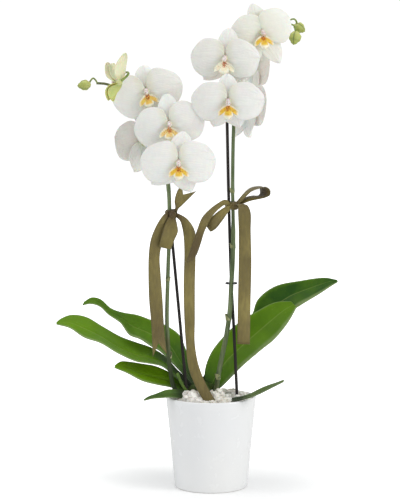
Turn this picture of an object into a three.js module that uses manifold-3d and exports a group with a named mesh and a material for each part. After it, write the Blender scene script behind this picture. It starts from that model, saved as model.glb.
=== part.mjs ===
// Potted moth orchid: white ceramic pot, bark and pebbles, seven leaves, two staked flower spikes, two ribbons.
// Millimetres, +Z up, the photograph is taken looking along +Y, origin at the centre of the pot's base.
import * as THREE from "three";
import { mergeVertices } from "three/addons/utils/BufferGeometryUtils.js";
import Module from "manifold-3d";

const wasm = await Module();
wasm.setup();

// ---- driving sizes ------------------------------------------------------------------------------
const SEAT = 0.35; // clearance left where one piece rests in or on another
const POT = { height: 130, topRadius: 65, baseRadius: 52, wall: 4, floor: 6, sides: 32 };
const BARK = { top: 114, play: 0.5, sides: 20 };
const PEBBLE = { count: 20, radius: 11.6, bedTop: 121, reach: 51, ceiling: 160, sides: 20 };
const CROWN = { x: -13, bottom: 72, top: 152, halfWidth: 22, halfDepth: 12 };
const LEAF = { thickness: 2, cup: 0.1, rows: 9, columns: 4 };
const STEM = { steps: 20, sides: 6 };
const PEDICEL = { sides: 4, radius: 1.5 };
const STAKE = { radius: 2.2, bottom: 15, sides: 8 };
const CLIP = { height: 3, stemRing: 5, stakeRing: 3.8, wing: 5, sides: 12 };
const PETAL_THICKNESS = 0.8;
const RIBBON = { thickness: 0.8 };

const material = (color, roughness, metalness = 0) =>
  new THREE.MeshStandardMaterial({ color, roughness, metalness, side: THREE.DoubleSide });
const WHITE_CERAMIC = material(0xf4f4f2, 0.35);
const BARK_BROWN = material(0x5b4330, 0.9);
const PEBBLE_WHITE = material(0xe6e4e0, 0.75);
const CROWN_GREEN = material(0x6b7f3a, 0.6);
const LEAF_GREEN = material(0x3f7a16, 0.4);
const STEM_GREEN = material(0x6f8458, 0.55);
const PETAL_WHITE = material(0xf3f2ee, 0.6);
const LIP_YELLOW = material(0xe9b92b, 0.55);
const BUD_GREEN = material(0xa9b84a, 0.55);
const STAKE_DARK = material(0x1d1b1a, 0.6);
const CLIP_DARK = material(0x16161a, 0.5);
const RIBBON_OLIVE = material(0x857d45, 0.45);

// ---- solids -------------------------------------------------------------------------------------
const vec = ([x, y, z]) => new THREE.Vector3(x, y, z);
const rad = THREE.MathUtils.degToRad;

function solid(geometry, matrix = new THREE.Matrix4()) {
  const bare = new THREE.BufferGeometry();
  const flat = geometry.index ? geometry.toNonIndexed() : geometry;
  bare.setAttribute("position", flat.getAttribute("position").clone()).applyMatrix4(matrix);
  const merged = mergeVertices(bare, 1e-3);
  const triVerts = [];
  const { array } = merged.index;
  for (let i = 0; i < array.length; i += 3) {
    const [a, b, c] = [array[i], array[i + 1], array[i + 2]];
    if (a !== b && b !== c && c !== a) triVerts.push(a, b, c);
  }
  const vertProperties = merged.attributes.position.array;
  return new wasm.Manifold(
    new wasm.Mesh({ numProp: 3, vertProperties, triVerts: new Uint32Array(triVerts) }),
  );
}

const fuse = (solids) => solids.reduce((sum, piece) => sum.add(piece));
const trim = (body, cutters) => cutters.reduce((rest, cutter) => rest.subtract(cutter), body);

function largest(body) {
  const parts = body.decompose();
  return parts.reduce((best, part) => (part.volume() > best.volume() ? part : best));
}

function mesh(name, made, look) {
  const { vertProperties, triVerts } = made.getMesh();
  const geometry = new THREE.BufferGeometry()
    .setAttribute("position", new THREE.BufferAttribute(vertProperties, 3))
    .setIndex(new THREE.BufferAttribute(triVerts, 1));
  geometry.computeVertexNormals();
  const made3d = new THREE.Mesh(geometry, look);
  made3d.name = name;
  return made3d;
}

function ellipsoid([x, y, z], [rx, ry, rz], detail = 1) {
  const matrix = new THREE.Matrix4().makeScale(rx, ry, rz).setPosition(x, y, z);
  return solid(new THREE.IcosahedronGeometry(1, detail), matrix);
}

// A thin body over point(u, v), u from 0 to 1 along and v from -1 to 1 across; both faces are split alike.
function blade(point, rows, columns, thickness) {
  const positions = [];
  const index = [];
  const step = 1e-3;
  const width = columns + 1;
  const under = (rows + 1) * width;
  for (const side of [1, -1])
    for (let i = 0; i <= rows; i++)
      for (let j = 0; j <= columns; j++) {
        const [u, v] = [i / rows, (2 * j) / columns - 1];
        const along = point(Math.min(u + step, 1), v).sub(point(Math.max(u - step, 0), v));
        const across = point(u, Math.min(v + step, 1)).sub(point(u, Math.max(v - step, -1)));
        const normal = across.cross(along).normalize();
        positions.push(...point(u, v).addScaledVector(normal, (side * thickness) / 2).toArray());
      }
  for (let i = 0; i < rows; i++)
    for (let j = 0; j < columns; j++) {
      const [a, b] = [i * width + j, i * width + j + 1];
      const [c, d] = [b + width, a + width];
      index.push(a, b, c, a, c, d);
      index.push(under + a, under + c, under + b, under + a, under + d, under + c);
    }
  const rim = [];
  for (let j = 0; j < columns; j++) rim.push(j);
  for (let i = 0; i < rows; i++) rim.push(i * width + columns);
  for (let j = columns; j > 0; j--) rim.push(rows * width + j);
  for (let i = rows; i > 0; i--) rim.push(i * width);
  rim.forEach((p, k) => {
    const q = rim[(k + 1) % rim.length];
    index.push(q, p, under + p, q, under + p, under + q);
  });
  const geometry = new THREE.BufferGeometry();
  geometry.setAttribute("position", new THREE.Float32BufferAttribute(positions, 3)).setIndex(index);
  return solid(geometry);
}

// A round rod along the points, whose radius follows radiusAt(u).
function tube(points, radiusAt, steps, sides) {
  const curve = new THREE.CatmullRomCurve3(points.map(vec), false, "centripetal");
  const { normals, binormals } = curve.computeFrenetFrames(steps, false);
  const positions = [];
  const index = [];
  for (let i = 0; i <= steps; i++) {
    const centre = curve.getPointAt(i / steps);
    for (let j = 0; j < sides; j++) {
      const angle = (2 * Math.PI * j) / sides;
      const out = normals[i].clone().multiplyScalar(Math.cos(angle));
      out.addScaledVector(binormals[i], Math.sin(angle));
      positions.push(...centre.clone().addScaledVector(out, radiusAt(i / steps)).toArray());
    }
  }
  const end = steps * sides;
  for (let i = 0; i < steps; i++)
    for (let j = 0; j < sides; j++) {
      const k = (j + 1) % sides;
      const [a, b, c, d] = [i * sides + j, i * sides + k, (i + 1) * sides + k, (i + 1) * sides + j];
      index.push(a, b, c, a, c, d);
    }
  for (let j = 1; j < sides - 1; j++) index.push(0, j + 1, j, end, end + j, end + j + 1);
  const geometry = new THREE.BufferGeometry();
  geometry.setAttribute("position", new THREE.Float32BufferAttribute(positions, 3)).setIndex(index);
  return solid(geometry);
}

// A round rod of one radius along the points.
function evenTube(points, radius, steps, sides) {
  const corners = [];
  for (let j = 0; j < sides; j++) {
    const angle = (2 * Math.PI * j) / sides;
    corners.push(new THREE.Vector2(radius * Math.cos(angle), radius * Math.sin(angle)));
  }
  const extrudePath = new THREE.CatmullRomCurve3(points.map(vec), false, "centripetal");
  return solid(new THREE.ExtrudeGeometry(new THREE.Shape(corners), { steps, extrudePath }));
}

// A surface between two edge curves, hollowed by cup times its width on the side away from "up".
function edged(rows, cup, up, notch = 0) {
  const first = new THREE.CatmullRomCurve3(rows.map(([a]) => vec(a)), false, "centripetal");
  const second = new THREE.CatmullRomCurve3(rows.map(([, b]) => vec(b)), false, "centripetal");
  return (u, v) => {
    const share = u * (1 - notch * (1 - Math.abs(v)));
    const [a, b] = [first.getPoint(share), second.getPoint(share)];
    const across = b.clone().sub(a);
    const along = first.getTangent(share).add(second.getTangent(share));
    const normal = along.cross(across.clone()).normalize();
    if (normal.dot(up) < 0) normal.negate();
    const point = a.lerp(b, (v + 1) / 2);
    return point.addScaledVector(normal, -cup * across.length() * (1 - v * v));
  };
}

// ---- pot, bark and pebbles ----------------------------------------------------------------------
const wallRadius = (z) => POT.baseRadius + ((POT.topRadius - POT.baseRadius) * z) / POT.height;

function lathe(profile, sides) {
  const geometry = new THREE.LatheGeometry(profile.map(([r, z]) => new THREE.Vector2(r, z)), sides);
  return solid(geometry, new THREE.Matrix4().makeRotationX(Math.PI / 2));
}

function potBody() {
  const { height, topRadius, baseRadius, wall, floor, sides } = POT;
  const profile = [
    [0, 0],
    [baseRadius - 1.6, 0],
    [baseRadius - 0.3, 0.6],
    [baseRadius + 0.2, 2],
    [topRadius - 0.2, height - 1.6],
    [topRadius - 0.8, height - 0.4],
    [topRadius - wall / 2, height],
    [topRadius - wall + 0.6, height - 0.5],
    [topRadius - wall, height - 1.8],
    [wallRadius(floor) - wall, floor],
    [0, floor],
  ];
  return lathe(profile, sides);
}

const innerRadius = (z) => wallRadius(z) - POT.wall - BARK.play;

function barkBody(cutters) {
  const bottom = POT.floor + SEAT;
  const profile = [
    [0, bottom],
    [innerRadius(bottom) - 1, bottom],
    [innerRadius(BARK.top), BARK.top - 2],
    [innerRadius(BARK.top) - 3, BARK.top],
    [0, BARK.top],
  ];
  return trim(lathe(profile, BARK.sides), cutters);
}

// Height of the pebble bed: level with the rim, heaped on both sides in front of the plant.
function heap(x, y) {
  const left = Math.exp(-((x + 26) ** 2 + (y + 26) ** 2) / 330);
  const right = Math.exp(-((x - 8) ** 2 + (y + 24) ** 2) / 220);
  return 123 + 17 * left + 13 * right;
}

function pebble(x, y, z, radius, random) {
  const geometry = new THREE.IcosahedronGeometry(1, 0);
  const turn = new THREE.Euler(random() * 3, random() * 3, random() * 3);
  const stretch = new THREE.Vector3(1, 0.72 + 0.25 * random(), 0.62 + 0.25 * random());
  const matrix = new THREE.Matrix4().makeRotationFromEuler(turn);
  matrix.scale(stretch.multiplyScalar(radius)).setPosition(x, y, z);
  return solid(geometry, matrix);
}

function seeded(seed) {
  let state = seed;
  return () => {
    state = (state * 16807) % 2147483647;
    return state / 2147483647;
  };
}

function pebbleBed(cutters) {
  const random = seeded(20260);
  const bottom = BARK.top + SEAT;
  const profile = [
    [0, bottom],
    [innerRadius(bottom), bottom],
    [innerRadius(PEBBLE.bedTop), PEBBLE.bedTop],
    [0, PEBBLE.bedTop],
  ];
  const room = [
    [0, bottom],
    [innerRadius(bottom), bottom],
    [innerRadius(PEBBLE.ceiling), PEBBLE.ceiling],
    [0, PEBBLE.ceiling],
  ];
  const pieces = [lathe(profile, PEBBLE.sides), ellipsoid([-25, -27, 118], [27, 22, 20]), ellipsoid([8, -25, 118], [20, 18, 16])];
  for (let i = 0; i < PEBBLE.count; i++) {
    const reach = PEBBLE.reach * Math.sqrt((i + 0.5) / PEBBLE.count);
    const angle = i * Math.PI * (3 - Math.sqrt(5));
    const [x, y] = [reach * Math.cos(angle), reach * Math.sin(angle)];
    const radius = PEBBLE.radius * (0.85 + 0.3 * random());
    pieces.push(pebble(x, y, heap(x, y), radius, random));
  }
  return largest(trim(fuse(pieces).intersect(lathe(room, PEBBLE.sides)), cutters));
}

// ---- crown and leaves ---------------------------------------------------------------------------
function crownBody(grow = 0) {
  const { x, bottom, top, halfWidth, halfDepth } = CROWN;
  const swell = [[9, 108], [15, 118], [21, 128], [22, 138], [18, 147]];
  const rows = [[0, bottom], [7, bottom + 2], ...swell, [8, top], [0, top]];
  const profile = rows.map(([r, z], i) => [r && r + grow, i < 2 ? z - grow : i > 6 ? z + grow : z]);
  const stand = new THREE.Matrix4().makeRotationX(Math.PI / 2);
  const squash = new THREE.Matrix4().makeScale(1, (halfDepth + grow) / (halfWidth + grow), 1);
  const geometry = new THREE.LatheGeometry(profile.map(([r, z]) => new THREE.Vector2(r, z)), 14);
  return solid(geometry, squash.setPosition(x, 0, 0).multiply(stand));
}

// What is left of an older flower stem, cut off.
const STUB = [[-21, -8, 127], [-30, -14.5, 133], [-37, -15.5, 142], [-43, -16, 152], [-48, -17, 165]];
const stubBody = (grow = 0) => evenTube(STUB, 2 + grow, 5, 6);

// Each leaf: pairs of far edge and near edge points from the crown to the tip.
const LEAVES = {
  leaf_upper_left: [
    [[-18, 8, 146], [-27, -3, 146]],
    [[-28, 26, 169], [-45, 6, 165]],
    [[-36, 38, 191], [-60, 12, 180]],
    [[-46, 46, 212], [-74, 16, 192]],
    [[-66, 52, 225], [-87, 20, 198]],
    [[-90, 54, 233], [-103, 24, 208]],
    [[-109, 54, 240], [-118, 28, 214]],
    [[-128, 52, 244], [-131, 34, 231]],
    [[-146, 48, 251], [-149, 40, 242]],
    [[-161, 46, 264], [-162, 38, 254]],
    [[-174, 42, 267], [-175, 37, 258]],
    [[-185, 40, 261], [-187, 38, 256]],
  ],
  leaf_middle_left: [
    [[-24, 8, 143], [-27, -4, 138]],
    [[-48, 20, 164], [-49, -3, 155]],
    [[-67, 32, 183], [-69, -3, 172]],
    [[-87, 38, 194], [-89, -2, 176]],
    [[-108, 42, 200], [-107, -1, 179]],
    [[-131, 42, 209], [-132, 0, 191]],
    [[-157, 40, 225], [-158, 2, 206]],
    [[-182, 34, 240], [-182, 4, 213]],
    [[-204, 26, 243], [-203, 8, 226]],
    [[-218, 18, 238], [-218, 12, 230]],
    [[-223, 15, 234], [-223, 13, 231]],
  ],
  leaf_lower_left: [
    [[-24, 7, 136], [-26, -0.5, 131]],
    [[-56, 16, 159], [-56, -5, 142]],
    [[-78, 22, 168], [-77, -5, 146]],
    [[-98, 24, 172], [-97, -4, 152]],
    [[-116, 22, 176], [-116, -2, 161]],
    [[-130, 16, 177], [-130, 2, 166]],
    [[-138, 10, 173], [-139, 7, 169]],
  ],
  leaf_over_left_rim: [
    [[-16, -6, 133], [-13, -10, 131]],
    [[-29, -18, 138], [-26, -25, 134]],
    [[-44, -20, 142], [-42, -32, 132]],
    [[-61, -24, 142], [-62, -42, 134]],
    [[-75, -34, 140], [-76, -48, 135]],
    [[-87, -44, 137], [-87, -51, 133]],
    [[-94, -52, 134], [-94, -54, 132]],
  ],
  leaf_front_right: [
    [[-7, 4, 138], [2, -5, 133]],
    [[-9, 11, 163], [17, -3, 145]],
    [[0, 22, 189], [42, 0, 170]],
    [[20, 30, 213], [73, 2, 196]],
    [[38, 32, 229], [88, 4, 208]],
    [[67, 34, 248], [105, 8, 227]],
    [[93, 32, 261], [115, 14, 240]],
    [[116, 26, 263], [124, 21, 255]],
  ],
  leaf_rear_right: [
    [[-17, 9.5, 146], [-9, 10, 141]],
    [[2, 33, 174], [20, 20, 163]],
    [[28, 44, 208], [54, 22, 193]],
    [[59, 54, 239], [83, 30, 224]],
    [[69, 58, 262], [108, 34, 241]],
    [[94, 60, 281], [134, 38, 258]],
    [[131, 58, 290], [159, 42, 273]],
    [[167, 54, 295], [177, 46, 284]],
    [[185, 50, 292], [186, 49, 289]],
  ],
  leaf_over_right_rim: [
    [[-6, -5, 129.5], [-9, -9, 129]],
    [[21, -21, 132.5], [15, -31, 130]],
    [[45, -37, 138], [39, -49, 133.5]],
    [[65, -46, 146.5], [58, -60, 140]],
    [[85, -54, 156.5], [79, -66, 151.5]],
    [[101, -63, 163], [99, -67, 160]],
  ],
};
const LEAF_UP = new THREE.Vector3(0, -0.7, 0.7);

// The same surface reaching a little past its edges, for cutting a clear space round it.
const widened = (surface, share) => (u, v) => surface(u, v * (1 + share));

const leafBody = (rows, grow = 0) => {
  const surface = widened(edged(rows, LEAF.cup, LEAF_UP), grow / 8);
  return blade(surface, LEAF.rows, LEAF.columns, LEAF.thickness + 2 * grow);
};

// ---- flower spikes, stakes and clip -------------------------------------------------------------
// Each spike: points along it, and its radius by share of its length.
const LEFT_SPIKE = {
  radii: [[0, 3.1], [0.4, 2.7], [0.62, 2.9], [1, 1.8]],
  points: [
    [-28, -3, 127], [-44, -8, 133], [-53, -11, 144], [-58, -11, 166], [-61, -10, 197], [-63, -8, 240],
    [-62, -6, 290], [-60, -3, 354], [-59.5, -2, 391], [-60, -2, 418], [-62, -2, 440], [-66, -1, 468],
    [-76, 2, 494], [-89, 6, 517], [-105, 10, 540], [-121, 15, 559], [-135, 20, 571], [-151, 20, 577],
    [-164, 15, 578],
  ],
};
const RIGHT_SPIKE = {
  radii: [[0, 3.4], [0.42, 3.2], [0.47, 2.6], [0.65, 2.5], [1, 1.8]],
  points: [
    [0, -5, 130], [7, -9, 141], [10, -11, 159], [14, -11, 180], [22, -9, 219], [27, -6, 256], [29, -4.4, 292],
    [31, -3.5, 325], [31.7, -3, 368], [31.2, -3, 401], [30.7, -3, 425], [31, -2, 468], [32, -2, 511],
    [33, 0, 540], [37, 2, 569], [43, 5, 592], [53, 8, 615], [66, 10, 635], [82, 11, 651], [99, 10, 661],
    [108, 8, 663],
  ],
};
// Joints of each spike: place and radius.
const LEFT_JOINTS = [[[-59.6, -9.8, 188], 3.8], [[-61.9, -5.8, 298], 3.4], [[-62, -2, 440], 3.6]];
const RIGHT_JOINTS = [
  [[9.8, -10.8, 158], 4.3], [[24.6, -7.5, 242], 4.1], [[31.4, -3, 345], 3.9], [[30.7, -3, 424], 3.8],
];
const LEFT_STAKE = [[-23.3, -17.5, STAKE.bottom], [-59.6, 3.9, 396]];
const RIGHT_STAKE = [[42.5, -12, STAKE.bottom], [32, -2.1, 239], [29, 2.2, 292], [25.6, 3, 401], [22.7, 3.6, 531]];

function stemRadius(radii, u) {
  const next = Math.max(1, radii.findIndex(([share]) => share >= u));
  const [[u0, r0], [u1, r1]] = [radii[next - 1], radii[next]];
  return THREE.MathUtils.lerp(r0, r1, (u - u0) / (u1 - u0));
}

const spikeCore = ({ points, radii }, grow = 0) =>
  tube(points, (u) => stemRadius(radii, u) + grow, STEM.steps, STEM.sides);
const stakeBody = (points, grow = 0) => {
  const foot = vec(points[0]).sub(vec(points[1])).normalize().multiplyScalar(grow);
  const reach = [vec(points[0]).add(foot).toArray(), ...points.slice(1)];
  return evenTube(reach, STAKE.radius + grow, points.length > 2 ? 10 : 2, STAKE.sides);
};

// A thickened joint of the spike with the papery bract that clasps it.
const joint = ([x, y, z], radius) => ellipsoid([x, y, z], [radius + 0.6, radius + 0.6, 5], 0);

// The sprung clip: a ring round the stem with an open mouth, a ring round the stake, and two finger wings.
function clipBody(stem, stake, cutters) {
  const { height, stemRing, stakeRing, wing, sides } = CLIP;
  const upright = (at) => new THREE.Matrix4().makeRotationX(Math.PI / 2).setPosition(...at);
  const ring = (at, radius) => solid(new THREE.CylinderGeometry(radius, radius, height, sides), upright(at));
  const block = (width, depth, tall, x, y) => {
    const place = new THREE.Matrix4().makeTranslation(stem[0] + x, stem[1] + y, stem[2]);
    return solid(new THREE.BoxGeometry(width, depth, tall), place);
  };
  const wings = [-1, 1].map((side) => block(wing, 2.4, height, side * (stemRing + wing / 2 - 1.2), 2.5));
  const mouth = block(3.4, 8, height + 2, 0, -5);
  const body = fuse([ring(stem, stemRing), ring(stake, stakeRing), ...wings]);
  return largest(trim(body, [mouth, ...cutters]));
}

// ---- blooms -------------------------------------------------------------------------------------
// Local frame of a bloom: it faces +Z, its upper sepal points to +Y.
const TEPAL = { level: -3, rise: 1, edge: 3, low: 0.55, lift: 0, rows: 3, columns: 2 };
const UPPER = { ...TEPAL, length: 41, width: 31, recurve: 8, high: 0.62 };
const LOWER = { ...TEPAL, length: 48, width: 34, recurve: 3, high: 0.76 };
const PETAL = { ...TEPAL, length: 51, width: 61, level: 0, rise: 3, recurve: 4, edge: 1.2, high: 0.5, columns: 3 };
// The half-open bloom's: narrower, and still lifted towards the middle by so many degrees.
const YOUNG_UPPER = { ...UPPER, length: 39, width: 22, lift: 4 };
const YOUNG_LOWER = { ...LOWER, length: 30, width: 25, rise: 7, recurve: -3, lift: 34 };
const YOUNG_PETAL = { ...PETAL, length: 32, width: 20, lift: 40 };
const HUB = { at: [0, 0, -1], radii: [4.6, 4.6, 5.2] };
const COLUMN = [[0, 2.6, 0], [0, 2.4, 5], [0, 0.8, 9], [0, -2, 11.5]];

// Width of a tepal at share s of its length, 1 at its widest.
function outline({ low, high }, s) {
  const peak = low / (low + high);
  return (s ** low * (1 - s) ** high) / (peak ** low * (1 - peak) ** high);
}

function tepal(shape, turn, size) {
  const { length, width, level, rise, recurve, edge, lift, rows, columns } = shape;
  const spin = new THREE.Matrix4().makeRotationZ(-rad(turn));
  const tilt = new THREE.Matrix4().makeRotationX(rad(lift));
  const place = spin.multiply(tilt);
  const point = (u, v) => {
    const s = 0.05 + 0.935 * Math.sin((u * Math.PI) / 2) ** 0.9;
    const half = (size * width * outline(shape, s)) / 2;
    const height = level + rise * Math.sin(Math.PI * s) - recurve * s * s - edge * v * v * s;
    return new THREE.Vector3(v * half, size * length * s, size * height).applyMatrix4(place);
  };
  return blade(point, rows, columns, PETAL_THICKNESS);
}

const hub = (grow = 0) => ellipsoid(HUB.at, HUB.radii.map((r) => r + grow), 0);
const column = (grow = 0) => tube(COLUMN, (u) => 2.5 + 0.9 * u + grow, 2, 5);

function bloomBody({ size, turns, tall = 1, young = false }) {
  const [upper, petal, lower] = young ? [YOUNG_UPPER, YOUNG_PETAL, YOUNG_LOWER] : [UPPER, PETAL, LOWER];
  const shapes = [{ ...upper, length: upper.length * tall }, petal, petal, lower, lower];
  return fuse([hub(), column(), ...shapes.map((shape, i) => tepal(shape, turns[i], size))]);
}

function lipLobe(side) {
  const point = (u, v) => {
    const half = 1.4 + 3.8 * Math.sin(Math.PI * (0.14 + 0.72 * u));
    const down = 5.6 + 8.6 * u ** 1.2 - v * half * 0.85;
    const height = 6.5 + 4.4 * u - 1.2 * u * u - v * half * 0.35 + 1.4 * v * v * (0.4 + u);
    return new THREE.Vector3(side * (0.6 + 13.4 * u), -down, height);
  };
  return blade(point, 2, 1, 1);
}

function lipTongue() {
  const point = (u, v) => {
    const half = 1.8 + 5.6 * Math.sin(Math.PI * Math.min(1, u ** 1.4)) - 0.9 * u;
    return new THREE.Vector3(v * half, -6.5 - 14 * u, 4.5 + 11 * Math.sin(1.9 * u) - 2 * v * v * (1 - u));
  };
  return blade(point, 3, 2, 1);
}

function lipBody() {
  const base = ellipsoid([0, -5.4, 5.6], [4, 4.6, 3.6], 0);
  const body = fuse([base, lipTongue(), lipLobe(1), lipLobe(-1)]);
  return largest(trim(body, [hub(SEAT), column(SEAT)]));
}

// Where each bloom stands, which way it faces (yaw to the right, nod downwards, roll to the left), where its stalk
// leaves the spike, and how far its tepals are turned from upright: upper sepal, left and right petal, left and
// right lower sepal. Degrees and millimetres; tall stretches the upper sepal.
const BLOOMS = [
  {
    name: "left_1", at: [-91, -20, 565], yaw: 0, nod: 14, roll: 15, size: 1, from: [-107, 10, 543],
    turns: [7, -94, 94, -150, 150], tall: 0.86,
  },
  {
    name: "left_2", at: [-59, -38, 519], yaw: 3, nod: 14, roll: 1, size: 0.98, from: [-85, 5, 510],
    turns: [-2, -102, 80, -150, 150],
  },
  {
    name: "left_3", at: [-98, 20, 491], yaw: -146, nod: 8, roll: 0, size: 0.98, from: [-78, 2.5, 497],
    turns: [0, -80, 80, -150, 150],
  },
  {
    name: "left_4", at: [-46, -56, 465], yaw: 5, nod: 16, roll: 0, size: 1.03, from: [-63, -2, 446],
    turns: [12, -88, 86, -134, 156],
  },
  {
    name: "right_1", at: [71.5, -20, 647.5], yaw: 14, nod: 12, roll: 4, size: 0.9, from: [78, 10.6, 647],
    turns: [-17, -88, 62, -158, 146], tall: 1.12,
  },
  {
    name: "right_2", at: [19, -36, 611], yaw: -6, nod: 18, roll: -2, size: 0.95, from: [45, 5.6, 598],
    turns: [10, -89, 90, -140, 146], tall: 1.05,
  },
  {
    name: "right_3", at: [60, 32, 597.5], yaw: 125, nod: 8, roll: 0, size: 0.88, from: [52, 7.6, 612],
    turns: [0, -80, 80, -150, 150],
  },
  {
    name: "right_4", at: [23, -52, 551], yaw: 1, nod: 28, roll: 1, size: 1, from: [33, 0, 541],
    turns: [-3, -89, 90, -157, 157], tall: 0.85,
  },
  {
    name: "right_5", at: [54, 8, 541], yaw: 121, nod: 8, roll: 0, size: 1, from: [32.5, -1, 525],
    turns: [0, -80, 80, -150, 150],
  },
  {
    name: "half_open", at: [-128.5, -57, 579], yaw: -130, nod: 0, roll: 0, size: 1, from: [-134, 19.7, 570.5],
    turns: [0, -14, 14, -163, 163], young: true,
    bends: [[-131, 6, 586], [-128.5, -22, 589], [-117, -46, 591], [-115.5, -62, 587]],
  },
];

function bloomMatrix({ at, yaw, nod, roll }) {
  const outer = new THREE.Matrix4().makeRotationZ(rad(yaw)).setPosition(...at);
  const inner = new THREE.Matrix4().makeRotationFromEuler(new THREE.Euler(Math.PI / 2 + rad(nod), 0, rad(roll)));
  return outer.multiply(inner);
}

function pedicel(bloom) {
  const matrix = bloomMatrix(bloom);
  const back = (z) => new THREE.Vector3(0, 0, z).applyMatrix4(matrix);
  const middle = vec(bloom.from).lerp(back(-16), 0.55).add(new THREE.Vector3(0, 0, 3));
  const bends = bloom.bends || [middle.toArray(), back(-13).toArray()];
  const rod = evenTube([bloom.from, ...bends, back(-3).toArray()], PEDICEL.radius, bends.length + 3, PEDICEL.sides);
  return rod.subtract(solid(new THREE.IcosahedronGeometry(1, 0), hubMatrix(matrix)));
}

function hubMatrix(matrix) {
  const scale = HUB.radii.map((r) => r + SEAT);
  return matrix.clone().multiply(new THREE.Matrix4().makeScale(...scale).setPosition(...HUB.at));
}

// ---- buds ---------------------------------------------------------------------------------------
// Each bud: centre, the way its tip points, its size, and the stalk from the spike's end over a small arch.
const BUDS = [
  {
    name: "bud_left", at: [-181.5, 10, 575], points: [-0.97, -0.2, -0.12], length: 20, radius: 8,
    stalk: [[-163, 15, 578], [-165.5, 14, 582.5], [-169, 13, 585], [-172, 12.3, 582]],
  },
  {
    name: "bud_right_upper", at: [127, 19, 657], points: [0.75, -0.2, -0.5], length: 19, radius: 8.2,
    stalk: [[106, 8, 663], [113, 11, 668], [119, 15, 669.5], [122.5, 18, 666]],
  },
  {
    name: "bud_right_lower", at: [119.5, 5, 642], points: [-0.2, -0.2, -0.9], length: 21, radius: 9.4,
    stalk: [[104, 9, 662.5], [113, 6.5, 662], [119, 6, 658.5]],
  },
];

function budMatrix({ at, points }) {
  const turn = new THREE.Quaternion().setFromUnitVectors(new THREE.Vector3(0, 1, 0), vec(points).normalize());
  return new THREE.Matrix4().makeRotationFromQuaternion(turn).setPosition(...at);
}

function budBody(bud, grow = 0) {
  const { length, radius } = bud;
  const rows = [[0, -0.5], [0.55, -0.4], [0.95, -0.15], [0.9, 0.12], [0.5, 0.38], [0, 0.5]];
  const profile = rows.map(([r, y]) => new THREE.Vector2(r && r * radius + grow, y * (length + 2 * grow)));
  return solid(new THREE.LatheGeometry(profile, 9), budMatrix(bud));
}

function budStalk(bud) {
  const root = vec(bud.at).addScaledVector(vec(bud.points).normalize(), -bud.length * 0.3);
  const rod = evenTube([...bud.stalk, root.toArray()], 1.3, 6, PEDICEL.sides);
  return rod.subtract(budBody(bud, SEAT));
}

// ---- ribbons ------------------------------------------------------------------------------------
// Each strip: pairs of edge points from the knot to the cut end; notch is the depth of a swallow-tail cut.
const LEFT_RIBBON = [
  {
    notch: 0.05, steps: 8,
    rows: [
      [[-61, -8, 396], [-57, -7, 388]], [[-69, -13, 389], [-60, -9, 381]], [[-79, -18, 373], [-65, -11, 365]],
      [[-86, -20, 354], [-70, -14, 349]], [[-88.5, -20, 332], [-73, -18, 331]],
      [[-89, -18, 305], [-71.5, -21, 306]], [[-88, -14, 269], [-69, -22, 270]],
      [[-85, -14, 234], [-67, -21, 234]], [[-83, -14, 188], [-63, -20, 193]],
    ],
  },
  {
    steps: 10,
    rows: [
      [[-58, -10, 391], [-51, -10, 387]], [[-65, -17, 378], [-48, -18, 376]], [[-69, -21, 365], [-47, -23, 367]],
      [[-72, -22, 354], [-52, -24, 355]], [[-74, -18, 346], [-57, -19, 342]], [[-73, -12, 350], [-56, -12, 350]],
      [[-67, -10, 366], [-53, -10.5, 367]], [[-59, -8.5, 386], [-54, -8.5, 387]],
    ],
  },
  {
    notch: 0.2, steps: 5,
    rows: [
      [[-54, -8, 391], [-49, -8, 391]], [[-51, -9, 400], [-47, -9, 398]], [[-52, -9, 410], [-41, -11, 404]],
      [[-49, -8, 422], [-33, -13, 412]], [[-43, -7, 432], [-21, -14, 424]],
    ],
  },
  {
    steps: 12,
    rows: [
      [[-53, -8, 394], [-50, -9, 387]], [[-44, -13, 391], [-44, -12, 382]], [[-33, -17, 384], [-41, -13, 372]],
      [[-23, -19, 368], [-39, -15, 358]], [[-22, -18, 341], [-38, -16, 338]], [[-23, -18, 291], [-39, -18, 291]],
      [[-23, -20, 241], [-38, -19, 241]], [[-23, -23, 209], [-36, -21, 209]], [[-18, -27, 179], [-32, -24, 174]],
      [[-7, -32, 151], [-21, -29, 146]], [[1, -37, 136], [-11, -34, 131]],
    ],
  },
];
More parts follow.
